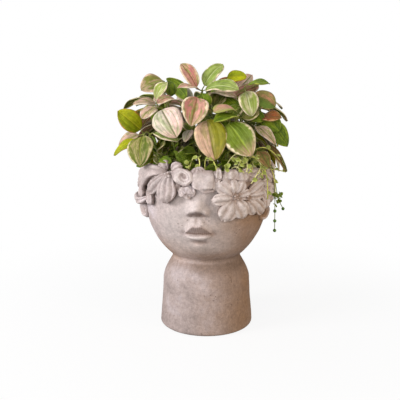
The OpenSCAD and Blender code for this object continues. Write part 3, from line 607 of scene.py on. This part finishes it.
def grainy(name, dark, pale, size_mm, roughness, depth_mm, roots=0.0):
    """A dry granular material: two tones in grains of a given size, and a share of pale roots over them."""
    made, tree = bare_material(name)
    place = add(tree, "TexCoord").outputs["Object"]
    grain = add(tree, "TexNoise", {"Vector": place, "Scale": 1000 / size_mm, "Detail": 4.0})
    crumbs = add(tree, "TexVoronoi", {"Vector": place, "Scale": 400 / size_mm})
    tone = add(tree, "ValToRGB", {0: grain})
    for step, at, colour in zip(tone.color_ramp.elements, (0.35, 0.7), (dark, pale)):
        step.position = at
        step.color = linear(colour)
    rough = add(tree, "Math", (grain, crumbs), operation="ADD")
    bump = add(tree, "Bump", {"Distance": depth_mm * MM, "Height": rough})
    winding = add(tree, "TexNoise", {"Vector": place, "Scale": 1000 / ROOT_BEND, "Detail": 4.0})
    push = winding.outputs["Color"]
    strayed = add(tree, "VectorMath", (push, (0.07, 0.07, 0.03), place), operation="MULTIPLY_ADD")
    web = add(tree, "TexVoronoi", {"Vector": strayed, "Scale": 1000 / ROOT_GAP}, feature="DISTANCE_TO_EDGE")
    root_share = add(tree, "MapRange", (web, 0.0, 0.03, roots, 0.0), **SMOOTH)
    rooted = add(tree, "Mix", {0: root_share, 6: tone, 7: linear("#93805f")}, data_type="RGBA")
    body = add(tree, "BsdfPrincipled", {"Base Color": rooted, "Roughness": roughness, "Normal": bump})
    add(tree, "OutputMaterial", {0: body})
    return made


# Each finish: its material, dark and pale tone, grain in millimetres, roughness, relief in millimetres
# and share of roots
GRAINS = {
    "root_ball": ("Peat potting soil", "#1a130e", "#4a3929", 2.2, 0.95, 1.4, 0.6),
    "drainage_pebbles": ("Fired clay pebble", "#7c4327", "#b2724b", 2.0, 0.85, 0.3),
    "drain_screen": ("Moulded polyethylene mesh", "#191919", "#262626", 1.5, 0.5, 0.05)}
for node, values in GRAINS.items():
    finish = grainy(*values)
    for made_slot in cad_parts[node].material_slots:
        made_slot.material = finish

# Shoots: fleshy stems that bend outwards, with cupped, striped leaves on short stalks.
# A stem is swept along its bend, each leaf is one shaped blank, thickened, and the shoot is joined.
SOIL_Z, SOIL_CROWN, STEM_R, BLADE = POT_H - 14.0, 4.0, 1.6, 0.6
TO_SOIL = np.array((0, 0, SOIL_Z))
leaf_skin, tree = bare_material("Living striped leaf")
# Waxy leaf: two-toned blade that fades to a pale hem, curved veins that run from stalk to tip,
# paler patches between them, and a fine quilted surface. Specks and quilting are sized in millimetres.
SPECK, QUILT = 5.882, 1.111
leaf_map = add(tree, "UVMap", uv_map="UVMap")
uv = add(tree, "SeparateXYZ", {0: leaf_map})
place = add(tree, "TexCoord").outputs["Object"]
# The colours and amounts that each leaf carries, as the paint function below writes them
COLOURS = ("blade", "hem_colour", "rib_colour", "patch_colour")
AMOUNTS = ("hem", "patch", "variant")
blade, hem_colour, rib_colour, patch_colour = (
    add(tree, "Attribute", attribute_name=name) for name in COLOURS)
hem, patchy, variant = (add(tree, "Attribute", attribute_name=name).outputs["Fac"] for name in AMOUNTS)
off_midrib = add(tree, "Math", (uv.outputs["X"], 2.0, -1.0), operation="MULTIPLY_ADD")
edge = add(tree, "Math", {0: off_midrib}, operation="ABSOLUTE")
speck = add(tree, "TexNoise", {"Vector": place, "Scale": 1000 / SPECK, "Detail": 3.0})
uneven = add(tree, "Math", (speck, 0.5), operation="SUBTRACT")
ragged = add(tree, "Math", (uneven, 0.45, edge), operation="MULTIPLY_ADD")
hem_start = add(tree, "Math", (hem, -1.6, 1.0), operation="MULTIPLY_ADD")
hem_end = add(tree, "Math", (hem, -0.5, 1.0), operation="MULTIPLY_ADD")
hem_share = add(tree, "MapRange", (ragged, hem_start, hem_end), **SMOOTH)
shift = add(tree, "CombineXYZ", {"X": variant, "Y": variant, "Z": variant})
along_veins = add(tree, "VectorMath", (leaf_map, (4.6, 2.0, 1.0), shift), operation="MULTIPLY_ADD")
patches = add(tree, "TexNoise",
              {"Vector": along_veins, "Scale": 1.0, "Detail": 8.0, "Roughness": 0.72, "Distortion": 0.7})
patch = add(tree, "MapRange", (patches, 0.47, 0.56), **SMOOTH)
patch_share = add(tree, "Math", (patch, patchy), operation="MULTIPLY")
across_veins = add(tree, "Math", (edge, 4.0), operation="MULTIPLY")
veined = add(tree, "Math", (across_veins, 0.5), operation="PINGPONG")
vein = add(tree, "MapRange", (veined, 0.0, 0.16, 0.32, 0.0), **SMOOTH)
midrib = add(tree, "MapRange", (edge, 0.02, 0.1, 0.8, 0.0), **SMOOTH)
vein_share = add(tree, "Math", (vein, midrib), operation="MAXIMUM")
patched = add(tree, "Mix", {0: patch_share, 6: blade, 7: patch_colour}, data_type="RGBA")
hemmed = add(tree, "Mix", {0: hem_share, 6: patched, 7: hem_colour}, data_type="RGBA")
ribbed = add(tree, "Mix", {0: vein_share, 6: hemmed, 7: rib_colour}, data_type="RGBA")
mottle = add(tree, "MapRange", (speck, 0.3, 0.7, 0.74, 1.14))
mottled = add(tree, "Mix", {0: 1.0, 6: ribbed, 7: mottle}, data_type="RGBA", blend_type="MULTIPLY")
quilt = add(tree, "TexVoronoi", {"Vector": place, "Scale": 1000 / QUILT})
relief_height = add(tree, "Math", (vein_share, -2.0, quilt), operation="MULTIPLY_ADD")
bump = add(tree, "Bump", {"Strength": 0.7, "Distance": 0.0006, "Height": relief_height})
wax = add(tree, "BsdfPrincipled",
          {"Base Color": mottled, "Roughness": 0.5, "Specular IOR Level": 0.22, "Normal": bump})
add(tree, "OutputMaterial", {0: wax})

# Each look: left half, right half, hem and its share of the half width, tip and its share, ribs,
# patches and how many
LOOKS = {
    "frost": ("#a3b25a", "#93a344", "#ead9bd", 0.14, "#b3a685", 0.3, "#cfd4a2", "#dcc9ac", 0.5),
    "meadow": ("#8fa545", "#84993a", "#ecd8bd", 0.13, "#b3b86c", 0.4, "#c6cf90", "#a9b866", 0.5),
    "grass": ("#66790c", "#586c0a", "#ead9b4", 0.15, "#dba99c", 0.9, "#97a83c", "#82933a", 0.6),
    "rose": ("#e0d5c2", "#f2d3c8", "#d5c3ae", 0.08, "#e3aca2", 0.7, "#5f6c35", "#a9b480", 0.7),
    "salmon": ("#d9a598", "#e2a49a", "#e6d4b8", 0.16, "#d08c80", 0.4, "#93744e", "#a0a15c", 1.0),
    "coral": ("#e0938a", "#e8ab9c", "#ecd8b8", 0.18, "#dcc39c", 0.6, "#8f6a40", "#8f9450", 1.0),
    "split": ("#e6bfa4", "#94901a", "#ddc59c", 0.07, "#c79a70", 0.3, "#7d7d1c", "#77761c", 0.6),
    "lime": ("#b9bd0e", "#92a006", "#c08e38", 0.1, "#b3ab12", 0.2, "#c2bc2c", "#a3ac0c", 0.6),
    "copper": ("#b4532e", "#b06238", "#c9a070", 0.12, "#8a7a34", 0.5, "#7d4a22", "#8a7a3a", 0.6),
    "sunset": ("#66802c", "#c58a6c", "#b9a468", 0.08, "#566a24", 0.6, "#7f8a3c", "#6a7f30", 0.7),
    "dark": ("#5f780c", "#4c640a", "#a3a94c", 0.08, "#45600e", 0.3, "#899b34", "#849a1e", 0.8),
    "olive": ("#737c24", "#606f1c", "#d8c9a0", 0.13, "#4f6112", 0.9, "#8b8f3c", "#c0ab7c", 0.6),
    "mottled": ("#86883a", "#70782c", "#d8b8a0", 0.15, "#b8a07c", 0.5, "#98a058", "#c9a78e", 0.6),
    "beige": ("#d9b4a4", "#d2b39c", "#e8d8c2", 0.14, "#c99488", 0.4, "#94865c", "#98985a", 1.0),
    "blush": ("#e8b09c", "#e4bc9c", "#a5aa58", 0.26, "#b5ae70", 0.5, "#c9a07e", "#a5aa58", 0.6),
    "brown": ("#9a6c44", "#84623a", "#b09a60", 0.12, "#6f6a30", 0.5, "#6b5c2c", "#66742c", 0.9),
    "pale": ("#b9c65c", "#a7b54a", "#d3d796", 0.1, "#b2bd56", 0.3, "#c6ce7c", "#ccd284", 0.3)}

# Each stem: foot on the soil (across, towards the back), the point that bends it, and its tip over the soil
STEMS = [
    ((-4, -2), (-6, -6, 70), (-4, -12, 116)), ((-20, -6), (-46, -12, 60), (-56, -16, 122)),
    ((-28, -26), (-42, -40, 50), (-50, -36, 100)), ((-44, -18), (-62, -24, 42), (-82, -28, 60)),
    ((-46, -40), (-58, -46, 40), (-68, -50, 60)), ((-4, -32), (-6, -34, 60), (-7, -34, 102)),
    ((26, -30), (36, -40, 50), (46, -32, 92)), ((34, -8), (46, -12, 60), (52, -14, 118)),
    ((50, -8), (64, -10, 50), (70, -10, 76)), ((56, -34), (62, -42, 20), (66, -46, 36)),
    ((12, 4), (16, 6, 70), (20, 8, 128)), ((-43, -46), (-45, -50, 16), (-54, -60, 30))]

# Each leaf: its stem, the share of the stem where it springs, base, tip, width, way it faces, look, and
# its cup where that isn't 0.2. The first rows are darker leaves behind, the others the ones that show whole.
LEAVES = [
    (0, 0.84, (8, -4, 96), (31, -8, 90), 22, (0, -1, 0.8), "dark"),
    (0, 0.78, (-10, -8, 88), (-30, -18, 84), 20, (0, -1, 0.8), "grass"),
    (1, 0.78, (-52, -20, 86), (-68, -34, 76), 22, (-0.2, -1, 0.6), "dark"),
    (1, 0.66, (-44, -20, 74), (-40, -36, 58), 20, (0, -1, 0.5), "grass"),
    (3, 0.70, (-68, -30, 48), (-84, -44, 40), 20, (-0.3, -1, 0.6), "dark"),
    (6, 0.74, (38, -36, 68), (58, -46, 60), 22, (0.2, -1, 0.6), "dark"),
    (7, 0.82, (46, -22, 94), (34, -34, 78), 22, (-0.2, -1, 0.5), "grass"),
    (7, 0.72, (56, -14, 84), (78, -20, 76), 22, (0.2, -1, 0.6), "dark"),
    (8, 0.96, (76, -6, 80), (98, -13, 62), 26, (0.1, -1, 0.7), "dark"),
    (10, 0.84, (26, -2, 106), (42, -12, 92), 24, (0.2, -1, 0.6), "dark"),
    (10, 0.90, (20, 0, 112), (10, -12, 94), 24, (0, -1, 0.5), "olive"),
    (10, 0.94, (27, 6, 119), (2, 3, 106), 22, (0, -1, 0.5), "dark"),
    (10, 0.74, (20, -4, 92), (30, -16, 74), 22, (0.1, -1, 0.5), "sunset"),
    (10, 0.64, (8, -2, 80), (-4, -12, 64), 22, (-0.1, -1, 0.5), "grass"),
    (0, 1.00, (-12, -14, 119), (-33, -10, 150), 21, (0.5, -1, 0.2), "coral", 0.5),
    (0, 0.96, (-8, -22, 116), (-32, -38, 117), 24, (0, -0.3, 1), "salmon"),
    (0, 0.98, (-2, -6, 122), (22, 1, 149), 26, (-0.4, -1, 0.5), "meadow", 0.3),
    (0, 0.93, (2, -22, 116), (46, -38, 114), 28, (0, -0.8, 1), "meadow", 0.3),
    (0, 0.90, (6, -6, 111), (42, -14, 105), 24, (0, -0.3, 1), "beige"),
    (1, 1.00, (-56, -20, 128), (-82, -33, 115), 30, (-0.2, -1, 0.35), "mottled"),
    (1, 0.90, (-64, -26, 98), (-92, -36, 97), 22, (-0.1, -0.6, 1), "beige"),
    (1, 0.96, (-46, -12, 108), (-52, -4, 128), 18, (0.6, -1, 0.3), "dark"),
    (2, 1.00, (-60, -40, 103), (-46, -37, 124), 20, (-0.6, -1, 0.2), "frost", 0.4),
    (2, 0.95, (-38, -38, 104), (-54, -60, 97), 20, (0.2, -0.4, 1), "salmon"),
    (2, 0.88, (-60, -44, 92), (-75, -58, 78), 22, (-0.3, -1, 0.8), "beige"),
    (2, 0.80, (-50, -54, 89), (-27, -76, 55), 40, (0, -1, 0.5), "rose"),
    (3, 1.00, (-84, -32, 64), (-110, -45, 88), 28, (0.3, -1, 0.2), "lime", 0.25),
    (3, 0.90, (-90, -20, 56), (-118, -20, 43), 20, (-0.2, -1, 0.8), "beige"),
    (3, 0.82, (-88, -36, 50), (-117, -44, 30), 16, (-0.4, -1, 0.8), "lime", 0.3),
    (4, 1.00, (-74, -58, 56), (-73, -76, 20), 36, (-0.2, -1, 0.2), "olive"),
    (4, 0.90, (-60, -54, 60), (-28, -64, 49), 24, (0.2, -0.5, 1), "meadow"),
    (5, 1.00, (-6, -44, 104), (-10, -68, 69), 34, (0.2, -1, 0.4), "coral", 0.45),
    (5, 0.92, (4, -32, 92), (-2, -36, 110), 20, (0.3, -1, 0.2), "dark", 0.3),
    (5, 0.70, (-14, -46, 64), (-19, -60, 49), 14, (-0.3, -1, 0.5), "rose"),
    (5, 0.78, (8, -54, 76), (21, -76, 28), 40, (0.1, -1, 0.4), "split", 0.35),
    (6, 0.84, (35, -56, 72), (64, -75, 33), 39, (0.1, -1, 0.4), "grass", 0.15),
    (6, 1.00, (42, -42, 88), (17, -64, 86), 26, (-0.1, -0.6, 1), "blush", 0.3),
    (6, 0.92, (46, -46, 80), (18, -66, 74), 24, (-0.1, -0.5, 1), "dark", 0.3),
    (7, 0.95, (54, -22, 112), (63, -40, 81), 26, (0.1, -1, 0.3), "frost", 0.3),
    (7, 0.90, (62, -10, 108), (92, -14, 93), 30, (0.2, -1, 0.7), "sunset"),
    (7, 1.00, (56, -8, 122), (84, -8, 123), 22, (0, -0.4, 1), "dark"),
    (8, 1.00, (74, -14, 79), (100, -20, 79), 24, (0, -0.7, 1), "copper"),
    (8, 0.92, (79, -2, 75), (109, -8, 42), 27, (0.1, -1, 0.5), "dark"),
    (8, 0.86, (68, -26, 68), (93, -42, 46), 15, (0.2, -1, 0.6), "beige", 0.4),
    (8, 0.60, (84, -18, 44), (108, -26, 10), 10, (0.5, -1, 0.3), "brown", 0.3),
    (9, 0.90, (72, -50, 38), (86, -58, 18), 16, (0.3, -1, 0.4), "brown", 0.3),
    (10, 1.00, (27, 4, 132), (53, 3, 133), 20, (0, -1, 0.6), "lime"),
    (10, 0.94, (14, 16, 126), (34, 25, 131), 18, (0, -0.6, 1), "copper"),
    (11, 0.98, (-64, -60, 27), (-80, -68, 18), 14, (-0.3, -1, 0.6), "dark"),
    (11, 0.90, (-50, -68, 28), (-34, -76, 24), 14, (0, -0.8, 1), "dark")]


def unit(v):
    """The same way with length 1."""
    return np.asarray(v, float) / np.linalg.norm(v)


def soil_top(r):
    """Height of the crowned soil at a radius, in millimetres."""
    return SOIL_Z + SOIL_CROWN * (1 - (r / BOWL_R) ** 2)


def stem_point(stem, t):
    """A point on a bent stem, in millimetres over the foot of the planter."""
    foot = np.array([*stem[0][:2], soil_top(math.hypot(*stem[0][:2]))])
    bend, tip = np.array(stem[1]) + TO_SOIL, np.array(stem[2]) + TO_SOIL
    return foot * (1 - t) ** 2 + bend * 2 * t * (1 - t) + tip * t * t


def aside(turn_deg, r, z):
    """A step by its turn from the face in degrees, its length on the level and its rise, in millimetres."""
    a = math.radians(turn_deg)
    return np.array([r * math.sin(a), -r * math.cos(a), z])


def paint(mesh, colours, amounts):
    """What the leaf material reads: the colours of blade, hem, ribs and patches, and three amounts."""
    count = len(mesh.vertices)
    for name, colour in zip(COLOURS, colours):
        found = mesh.attributes.new(name, "FLOAT_COLOR", "POINT")
        flat = np.tile(linear(colour), (count, 1)) if isinstance(colour, str) else colour
        found.data.foreach_set("color", np.ascontiguousarray(flat, np.float32).ravel())
    for name, amount in zip(AMOUNTS, amounts):
        set_value(mesh, name, np.full(count, amount))


blank = fresh(bpy.ops.mesh.primitive_grid_add, x_subdivisions=20, y_subdivisions=16, size=2)
blank.data.uv_layers[0].name = "UVMap"


def leaf(base, tip, wide, facing, look, seed, cup=0.2):
    """One blade from its base to its tip, cupped round its midrib and painted with a look."""
    made, co = copy_of(blank)
    s, t = co[:, 0], 0.5 - 0.5 * np.cos(math.pi * (co[:, 1] + 1) / 2)
    base, tip = np.array(base, float), np.array(tip, float)
    length = np.linalg.norm(tip - base)
    along = unit(tip - base)
    up = unit(np.array(facing) - along * np.dot(facing, along))
    across = np.cross(along, up)
    half = wide * 1.08 * np.sqrt(t) * (1 - t) ** 0.62
    fold = cup * half * np.abs(s) ** 1.5 - 0.16 * half * np.abs(s) ** 5
    ripple = 0.034 * length * np.sin(7.5 * t + seed) * s ** 2 * np.sign(s + 1e-6)
    gutter = 0.024 * length * (np.abs(np.sin(2 * math.pi * s)) ** 0.8 - 0.6) * np.sin(math.pi * t) ** 0.5
    centre = base + np.outer(t, tip - base) + np.outer(length * 0.5 * t * (1 - t), up)
    p = centre + np.outer(s * half, across) + np.outer(fold + ripple + gutter, up)
    set_points(made.data, p * MM)
    left, right, hem_at, hem_wide, end, end_share, rib, patch_at, patch_amount = LOOKS[look]
    toward = ease(-s, -0.25, 0.25)[:, None]
    colour = np.array(linear(left)) * (1 - toward) + np.array(linear(right)) * toward
    ending = (ease(t, 0.62, 0.98) * end_share)[:, None]
    colour = colour * (1 - ending) + np.array(linear(end)) * ending
    colour[:, :3] *= 0.93 + 0.1 * math.sin(2.4 * seed)
    paint(made.data, (colour, hem_at, rib, patch_at), (hem_wide, patch_amount, 3.7 * seed))
    return made


def tube(path, radii, sides=8):
    """A closed tube along points in metres, swept as a bevelled curve and made a mesh."""
    made = fresh(bpy.ops.curve.primitive_nurbs_path_add)
    made.data.splines.clear()
    spline = made.data.splines.new("NURBS")
    spline.points.add(len(path) - 1)
    for point, place, r in zip(spline.points, path, radii):
        point.co = (*place, 1)
        point.radius = r / radii[0]
    spline.order_u = min(4, len(path))
    spline.use_endpoint_u = True
    spline.resolution_u = 4
    made.data.bevel_depth = radii[0]
    made.data.bevel_resolution = sides // 2 - 2
    made.data.use_fill_caps = True
    bpy.ops.object.convert(target="MESH")
    return bpy.context.object


def stalk(points, radii, colour):
    """A stem or stalk through points in millimetres, painted one colour."""
    made = tube([np.array(p) * MM for p in points], [r * MM for r in radii], 8)
    paint(made.data, [colour] * 4, (0, 0, 0))
    return made


def thickened(name, blades, thickness, offset):
    """Blades joined and given a thickness in millimetres, below them or to both sides."""
    made = joined(name, blades)
    bpy.ops.object.modifier_add(type="SOLIDIFY")
    made.modifiers[-1].thickness = thickness * MM
    made.modifiers[-1].offset = offset
    bpy.ops.object.modifier_apply(modifier=made.modifiers[-1].name)
    return made


def shoot(name, stem, rows, seed):
    """A stem with its leaves, joined, thickened and set in place of its CAD node."""
    blades, stalks = [], []
    for i, (t, base, tip, wide, facing, look, *cup) in enumerate(rows):
        base, tip = np.array(base) + TO_SOIL, np.array(tip) + TO_SOIL
        root = stem_point(stem, t)
        bend = (root + base) / 2 + (base - tip) * 0.12
        blades.append(leaf(base, tip, wide, facing, look, seed + i, *cup))
        path = [root, (root + bend) / 2, bend, base, base + (tip - base) * 0.12]
        stalks.append(stalk(path, [0.9, 0.8, 0.75, 0.7, 0.3], "#8b8f45"))
    made = thickened(name + "_leaves", blades, BLADE, -1)
    path = [stem_point(stem, k / 6) for k in range(7)]
    stalks.append(stalk(path, [STEM_R * (1 - 0.4 * k / 6) for k in range(7)], "#75803a"))
    made = joined(name + "_plant", [made] + stalks)
    return finish_mesh(made, leaf_skin, "planting", "leaf", name, merge=0.00004)


# Shorter leaves between the others on the tall shoots, turned to the two sides of their stem in turn
SIDE_LEAVES = {0: (3, 4), 1: (3, 4), 6: (4,), 7: (3,), 10: (1, 3, 4)}


def side_leaf(i, k):
    """A leaf of the shoot of number i at the side of its stem, the higher k the further up."""
    t = 0.34 + 0.12 * k
    root = stem_point(STEMS[i], t) - TO_SOIL
    turn_deg = math.degrees(math.atan2(root[0], -root[1]))
    way = 1 if (i + k) % 2 == 0 else -1
    long = 28 + 4 * sway(97 * i + 50 * k)
    base = root + aside(turn_deg + way * 50, 8, 3)
    tip = base + aside(turn_deg + way * 60, 0.7 * long, 0.3 * long)
    look = ("grass", "beige", "olive", "dark")[(i + k) % 4]
    return (t, base, tip, 0.72 * long, aside(turn_deg, 1.1, 1), look, 0.22)


def undergrowth(stem, i, count=5):
    """Small dark leaves low on a stem, turned round it and mostly towards the middle of the bowl."""
    rows = []
    for k in range(count):
        t = 0.16 + 0.09 * k
        root = stem_point(stem, t) - TO_SOIL
        outward = math.degrees(math.atan2(root[0], -root[1]))
        turn_deg = outward + 180 + 105 * sway(137 * k + 60 * i)
        base = root + aside(turn_deg, 6, 4)
        tip = base + aside(turn_deg, 17, 8 + 6 * sway(80 * k + 40 * i))
        look = ("dark", "grass", "dark", "olive")[(i + k) % 4]
        rows.append((t, base, tip, 16, aside(outward, 0.9, 1), look, 0.25))
    return rows


for i, stem in enumerate(STEMS):
    rows = [row[1:] for row in LEAVES if row[0] == i] + [side_leaf(i, k) for k in SIDE_LEAVES.get(i, ())]
    shoot(f"shoot_{i + 1}", stem, rows + undergrowth(stem, i), 3 * i)


def fan(stem, turn_deg, count, length, low, shift):
    """Leaves fanned round the end of a stem of the back or the crown, as rows like those above."""
    rows = []
    names = ("frost", "rose", "lime", "grass", "salmon", "dark", "olive")
    for i in range(count):
        long = length + 4 * sway(97 * i + shift)
        t = 1 - 0.08 * i
        side_turn = turn_deg + (20 if i % 2 == 0 else -20)
        base = stem_point(stem, t) - TO_SOIL + aside(side_turn, 9, 2)
        tip = base + aside(side_turn, long, low - 9 * i)
        look = names[(3 * i + shift) % len(names)]
        rows.append((t, base, tip, long * 0.68, aside(turn_deg, 1.1, 1), look, 0.22))
    return rows


# Of each shoot of the back, how many leaves it has and how long they are; of each of the crown, its looks
for k, (count, length) in enumerate(((7, 31), (7, 40), (7, 40), (7, 40), (7, 40), (7, 40), (6, 35))):
    a = 101 + 27 * k
    stem = (aside(a, 42, 0), aside(a, 54, 52), aside(a + 6, 70, 102 + 10 * sway(150 * k)))
    rows = fan(stem, a, count, length, -12, k) + undergrowth(stem, k, 4)
    shoot(f"back_shoot_{k + 1}", stem, rows, 5 * k)
for k, shift in enumerate((1, 4, 5)):
    a = 104 + 64 * k
    stem = (aside(a, 22, 0), aside(a, 26, 60), aside(a + 4, 26, 108 + 6 * sway(110 * k)))
    shoot(f"top_shoot_{k + 1}", stem, fan(stem, a, 4, 32, 28, shift), 7 * k)

# Low leaves: young dark leaves that close over the soil inside the rim, each on its own short stalk.
# Three upright fronds with small leaflets stand among them in front.
# Places of the ring left free for what else is there; the one in front is for watering
TAKEN = (5, 7, 14, 25, 27)
blades, stalks = [], []
for k in range(1, 30):
    if k in TAKEN:
        continue
    a = 360 * k / 30
    r = 58 - 8 * math.cos(math.radians(a))
    lean = a + 30 * sway(75 * k)
    foot = aside(a, r, soil_top(r))
    base = foot + aside(lean, 4, 13 + 5 * (k % 3))
    tip = base + aside(lean, 13 + 3 * (k % 3), 9 + 6 * sway(50 * k))
    blades.append(leaf(base, tip, 16, aside(a, 0.3, 1), ("dark", "olive", "dark")[k % 3], k, 0.25))
    path = [foot, (foot + base) / 2, base, base + (tip - base) * 0.1]
    stalks.append(stalk(path, [0.8, 0.7, 0.6, 0.3], "#5f7430"))
for tip_x, height in ((-24, 56), (-12, 44), (30, 40)):
    frond = [np.array([(0.5 + 0.085 * k) * tip_x - 4, -58 - 3 * k, SOIL_Z + 3 + height * k / 5 - 0.9 * k * k])
             for k in range(6)]
    stalks.append(stalk(frond, [0.6, 0.55, 0.5, 0.45, 0.35, 0.3], "#46601f"))
    for k in range(1, 13):
        at = frond[0] + (frond[-1] - frond[0]) * k / 13 + [0, 0, 18 * k / 13 * (1 - k / 13)]
        for way in (-1, 1):
            reach = 11 * (1 - 0.5 * k / 13)
            blades.append(leaf(at, at + [way * reach, -1, 3], 2.6, (0, -1, 0.6), "dark", k, 0.1))
low = joined("low_leaf_ring", [thickened("low_leaf_blades", blades, BLADE, -1)] + stalks)
finish_mesh(low, leaf_skin, "planting", "leaf", "low_leaves", merge=0.00004)

# Trailing creeper: thin pale stems that climb out of the soil, loop over the rim and hang, with small
# round leaves on them, and two that carry round beads.
# Each point: turn in degrees, distance out from the rim and height over the soil's edge, 0 on the soil
THREADS = [
    ((-12, -20, 0), (-10, -10, 22), (-8, -2, 24), (-7, 4, 18)),
    ((44, -22, 0), (42, -6, 30), (45, 4, 36), (53, 10, 26), (60.5, 12, 12.5), (63, 12, -5), (63.2, 12, -24)),
    ((40, -20, 0), (42, -8, 32), (47, 4, 36), (54, 11, 24), (53.4, 12, 16), (47, 12, 7), (43, 12, -1)),
    ((-14, -20, 0), (-9, -10, 27), (-2, -8, 35), (3, -4, 28), (1, 2, 15)),
    ((8, -18, 0), (4, -8, 28), (10, -8, 34), (15, -2, 26), (16, 4, 14)),
    ((24, -18, 0), (30, -10, 34), (41, -6, 37), (47, 0, 27), (40, 9, 13)),
    ((47, -18, 0), (50, -8, 30), (59, -3, 33), (60, 7, 19), (55, 12, 4)),
    ((60, -24, 0), (56, -12, 34), (58, 4, 45), (67, 12, 39.5), (74, 20, 27), (78, 23, 15)),
    ((60, -16, 0), (57, -8, 30), (64, 4, 24), (60, 10, 10), (50, 12, 6)),
    ((70, -10, 10), (72, 8, 16), (76, 18, 12), (80, 26, 9)),
    ((52, -16, 0), (57, -8, 26), (52, 2, 26), (47, 8, 16), (41, 10, 12)),
    ((34, -18, 0), (30, -8, 24), (35, 0, 22), (38, 8, 12)),
    ((72, -22, 0), (74, -14, 36), (70, 4, 28), (76, 12, 8), (77, 14, -12), (77, 14, -27))]
BEADED = [
    ((84, -20, 0), (84, -10, 22), (80, 4, 26), (76, 13, 8), (76, 14, -20), (77, 14, -68.5)),
    ((86, -20, 0), (84, -10, 20), (80, 4, 24), (79, 13, 4), (80, 15, -27), (93, 22.5, -43.5))]


def thread_points(rows):
    """Points from rows of turn, distance out from the rim and height over the soil's edge."""
    return [around(a, RIM_R + out, SOIL_Z + up if up else soil_top(RIM_R + out)) / MM for a, out, up in rows]


parts, blades = [], []
for i, rows in enumerate(THREADS):
    path = thread_points(rows)
    parts.append(stalk(path, [0.7] * len(rows), ("#e8e48c", "#d6d86f", "#f0eaa4")[i % 3]))
    for k in range(2, len(path)):
        at = path[k - 1] + (path[k] - path[k - 1]) * 0.6
        turn_deg = rows[k][0] + 70 * math.sin(2.1 * k + i)
        tip = at + aside(turn_deg, 5.5, 2.5 * math.sin(4 * k + i))
        blades.append(leaf(at, tip, 6, aside(rows[k][0], 1, 0.7), "pale", k + i, 0.3))
for k in range(12):
    at = thread_points([(78 + 6 * math.sin(2.3 * k), 15 + 3 * math.sin(k), -26 + 6 * math.sin(1.7 * k))])[0]
    tip = at + aside(60 + 60 * math.sin(5 * k), 6, 4 * math.sin(3 * k))
    blades.append(leaf(at, tip, 5, aside(65, 1, 0.6), "dark", k))
for k in range(9):
    spot = (31 + 9 * math.sin(2.1 * k), 5 + 2 * math.sin(3 * k), 24 + 6 * math.cos(1.9 * k))
    at = thread_points([spot])[0]
    tip = at + aside(30 + 80 * math.sin(5 * k), 6, 5 * math.sin(3.3 * k))
    blades.append(leaf(at, tip, 6, aside(28, 1, 0.6), "pale", k, 0.25))
leaflets = thickened("creeper_leaflets", blades, 0.5, 0)
creeper = joined("creeper_threads", [leaflets] + parts)
finish_mesh(creeper, leaf_skin, "planting", "thread", "trailing_threads")
parts = []
for rows, shares in zip(BEADED, ((0.456, 0.73, 1.0), (1.0,))):
    path = thread_points(rows)
    parts.append(stalk(path, [0.5] * len(path), "#7c8a3c"))
    for share_down in shares:
        at = path[-2] + (path[-1] - path[-2]) * share_down
        bead = fresh(bpy.ops.mesh.primitive_uv_sphere_add, segments=18, ring_count=12, radius=1)
        co = points_of(bead.data)
        swell = 2.2 * (1 - 0.18 * np.clip(co[:, 2], -1, 1))
        set_points(bead.data, (at + co * swell[:, None] * [1, 1, 1.05]) * MM)
        paint(bead.data, ("#53752b", "#6d8c3c", "#7d9a48", "#7f9c4c"), (0, 0.4, 0.3))
        parts.append(bead)
finish_mesh(joined("creeper_beads", parts), leaf_skin, "planting", "thread", "beaded_threads")
bpy.data.objects.remove(blank)
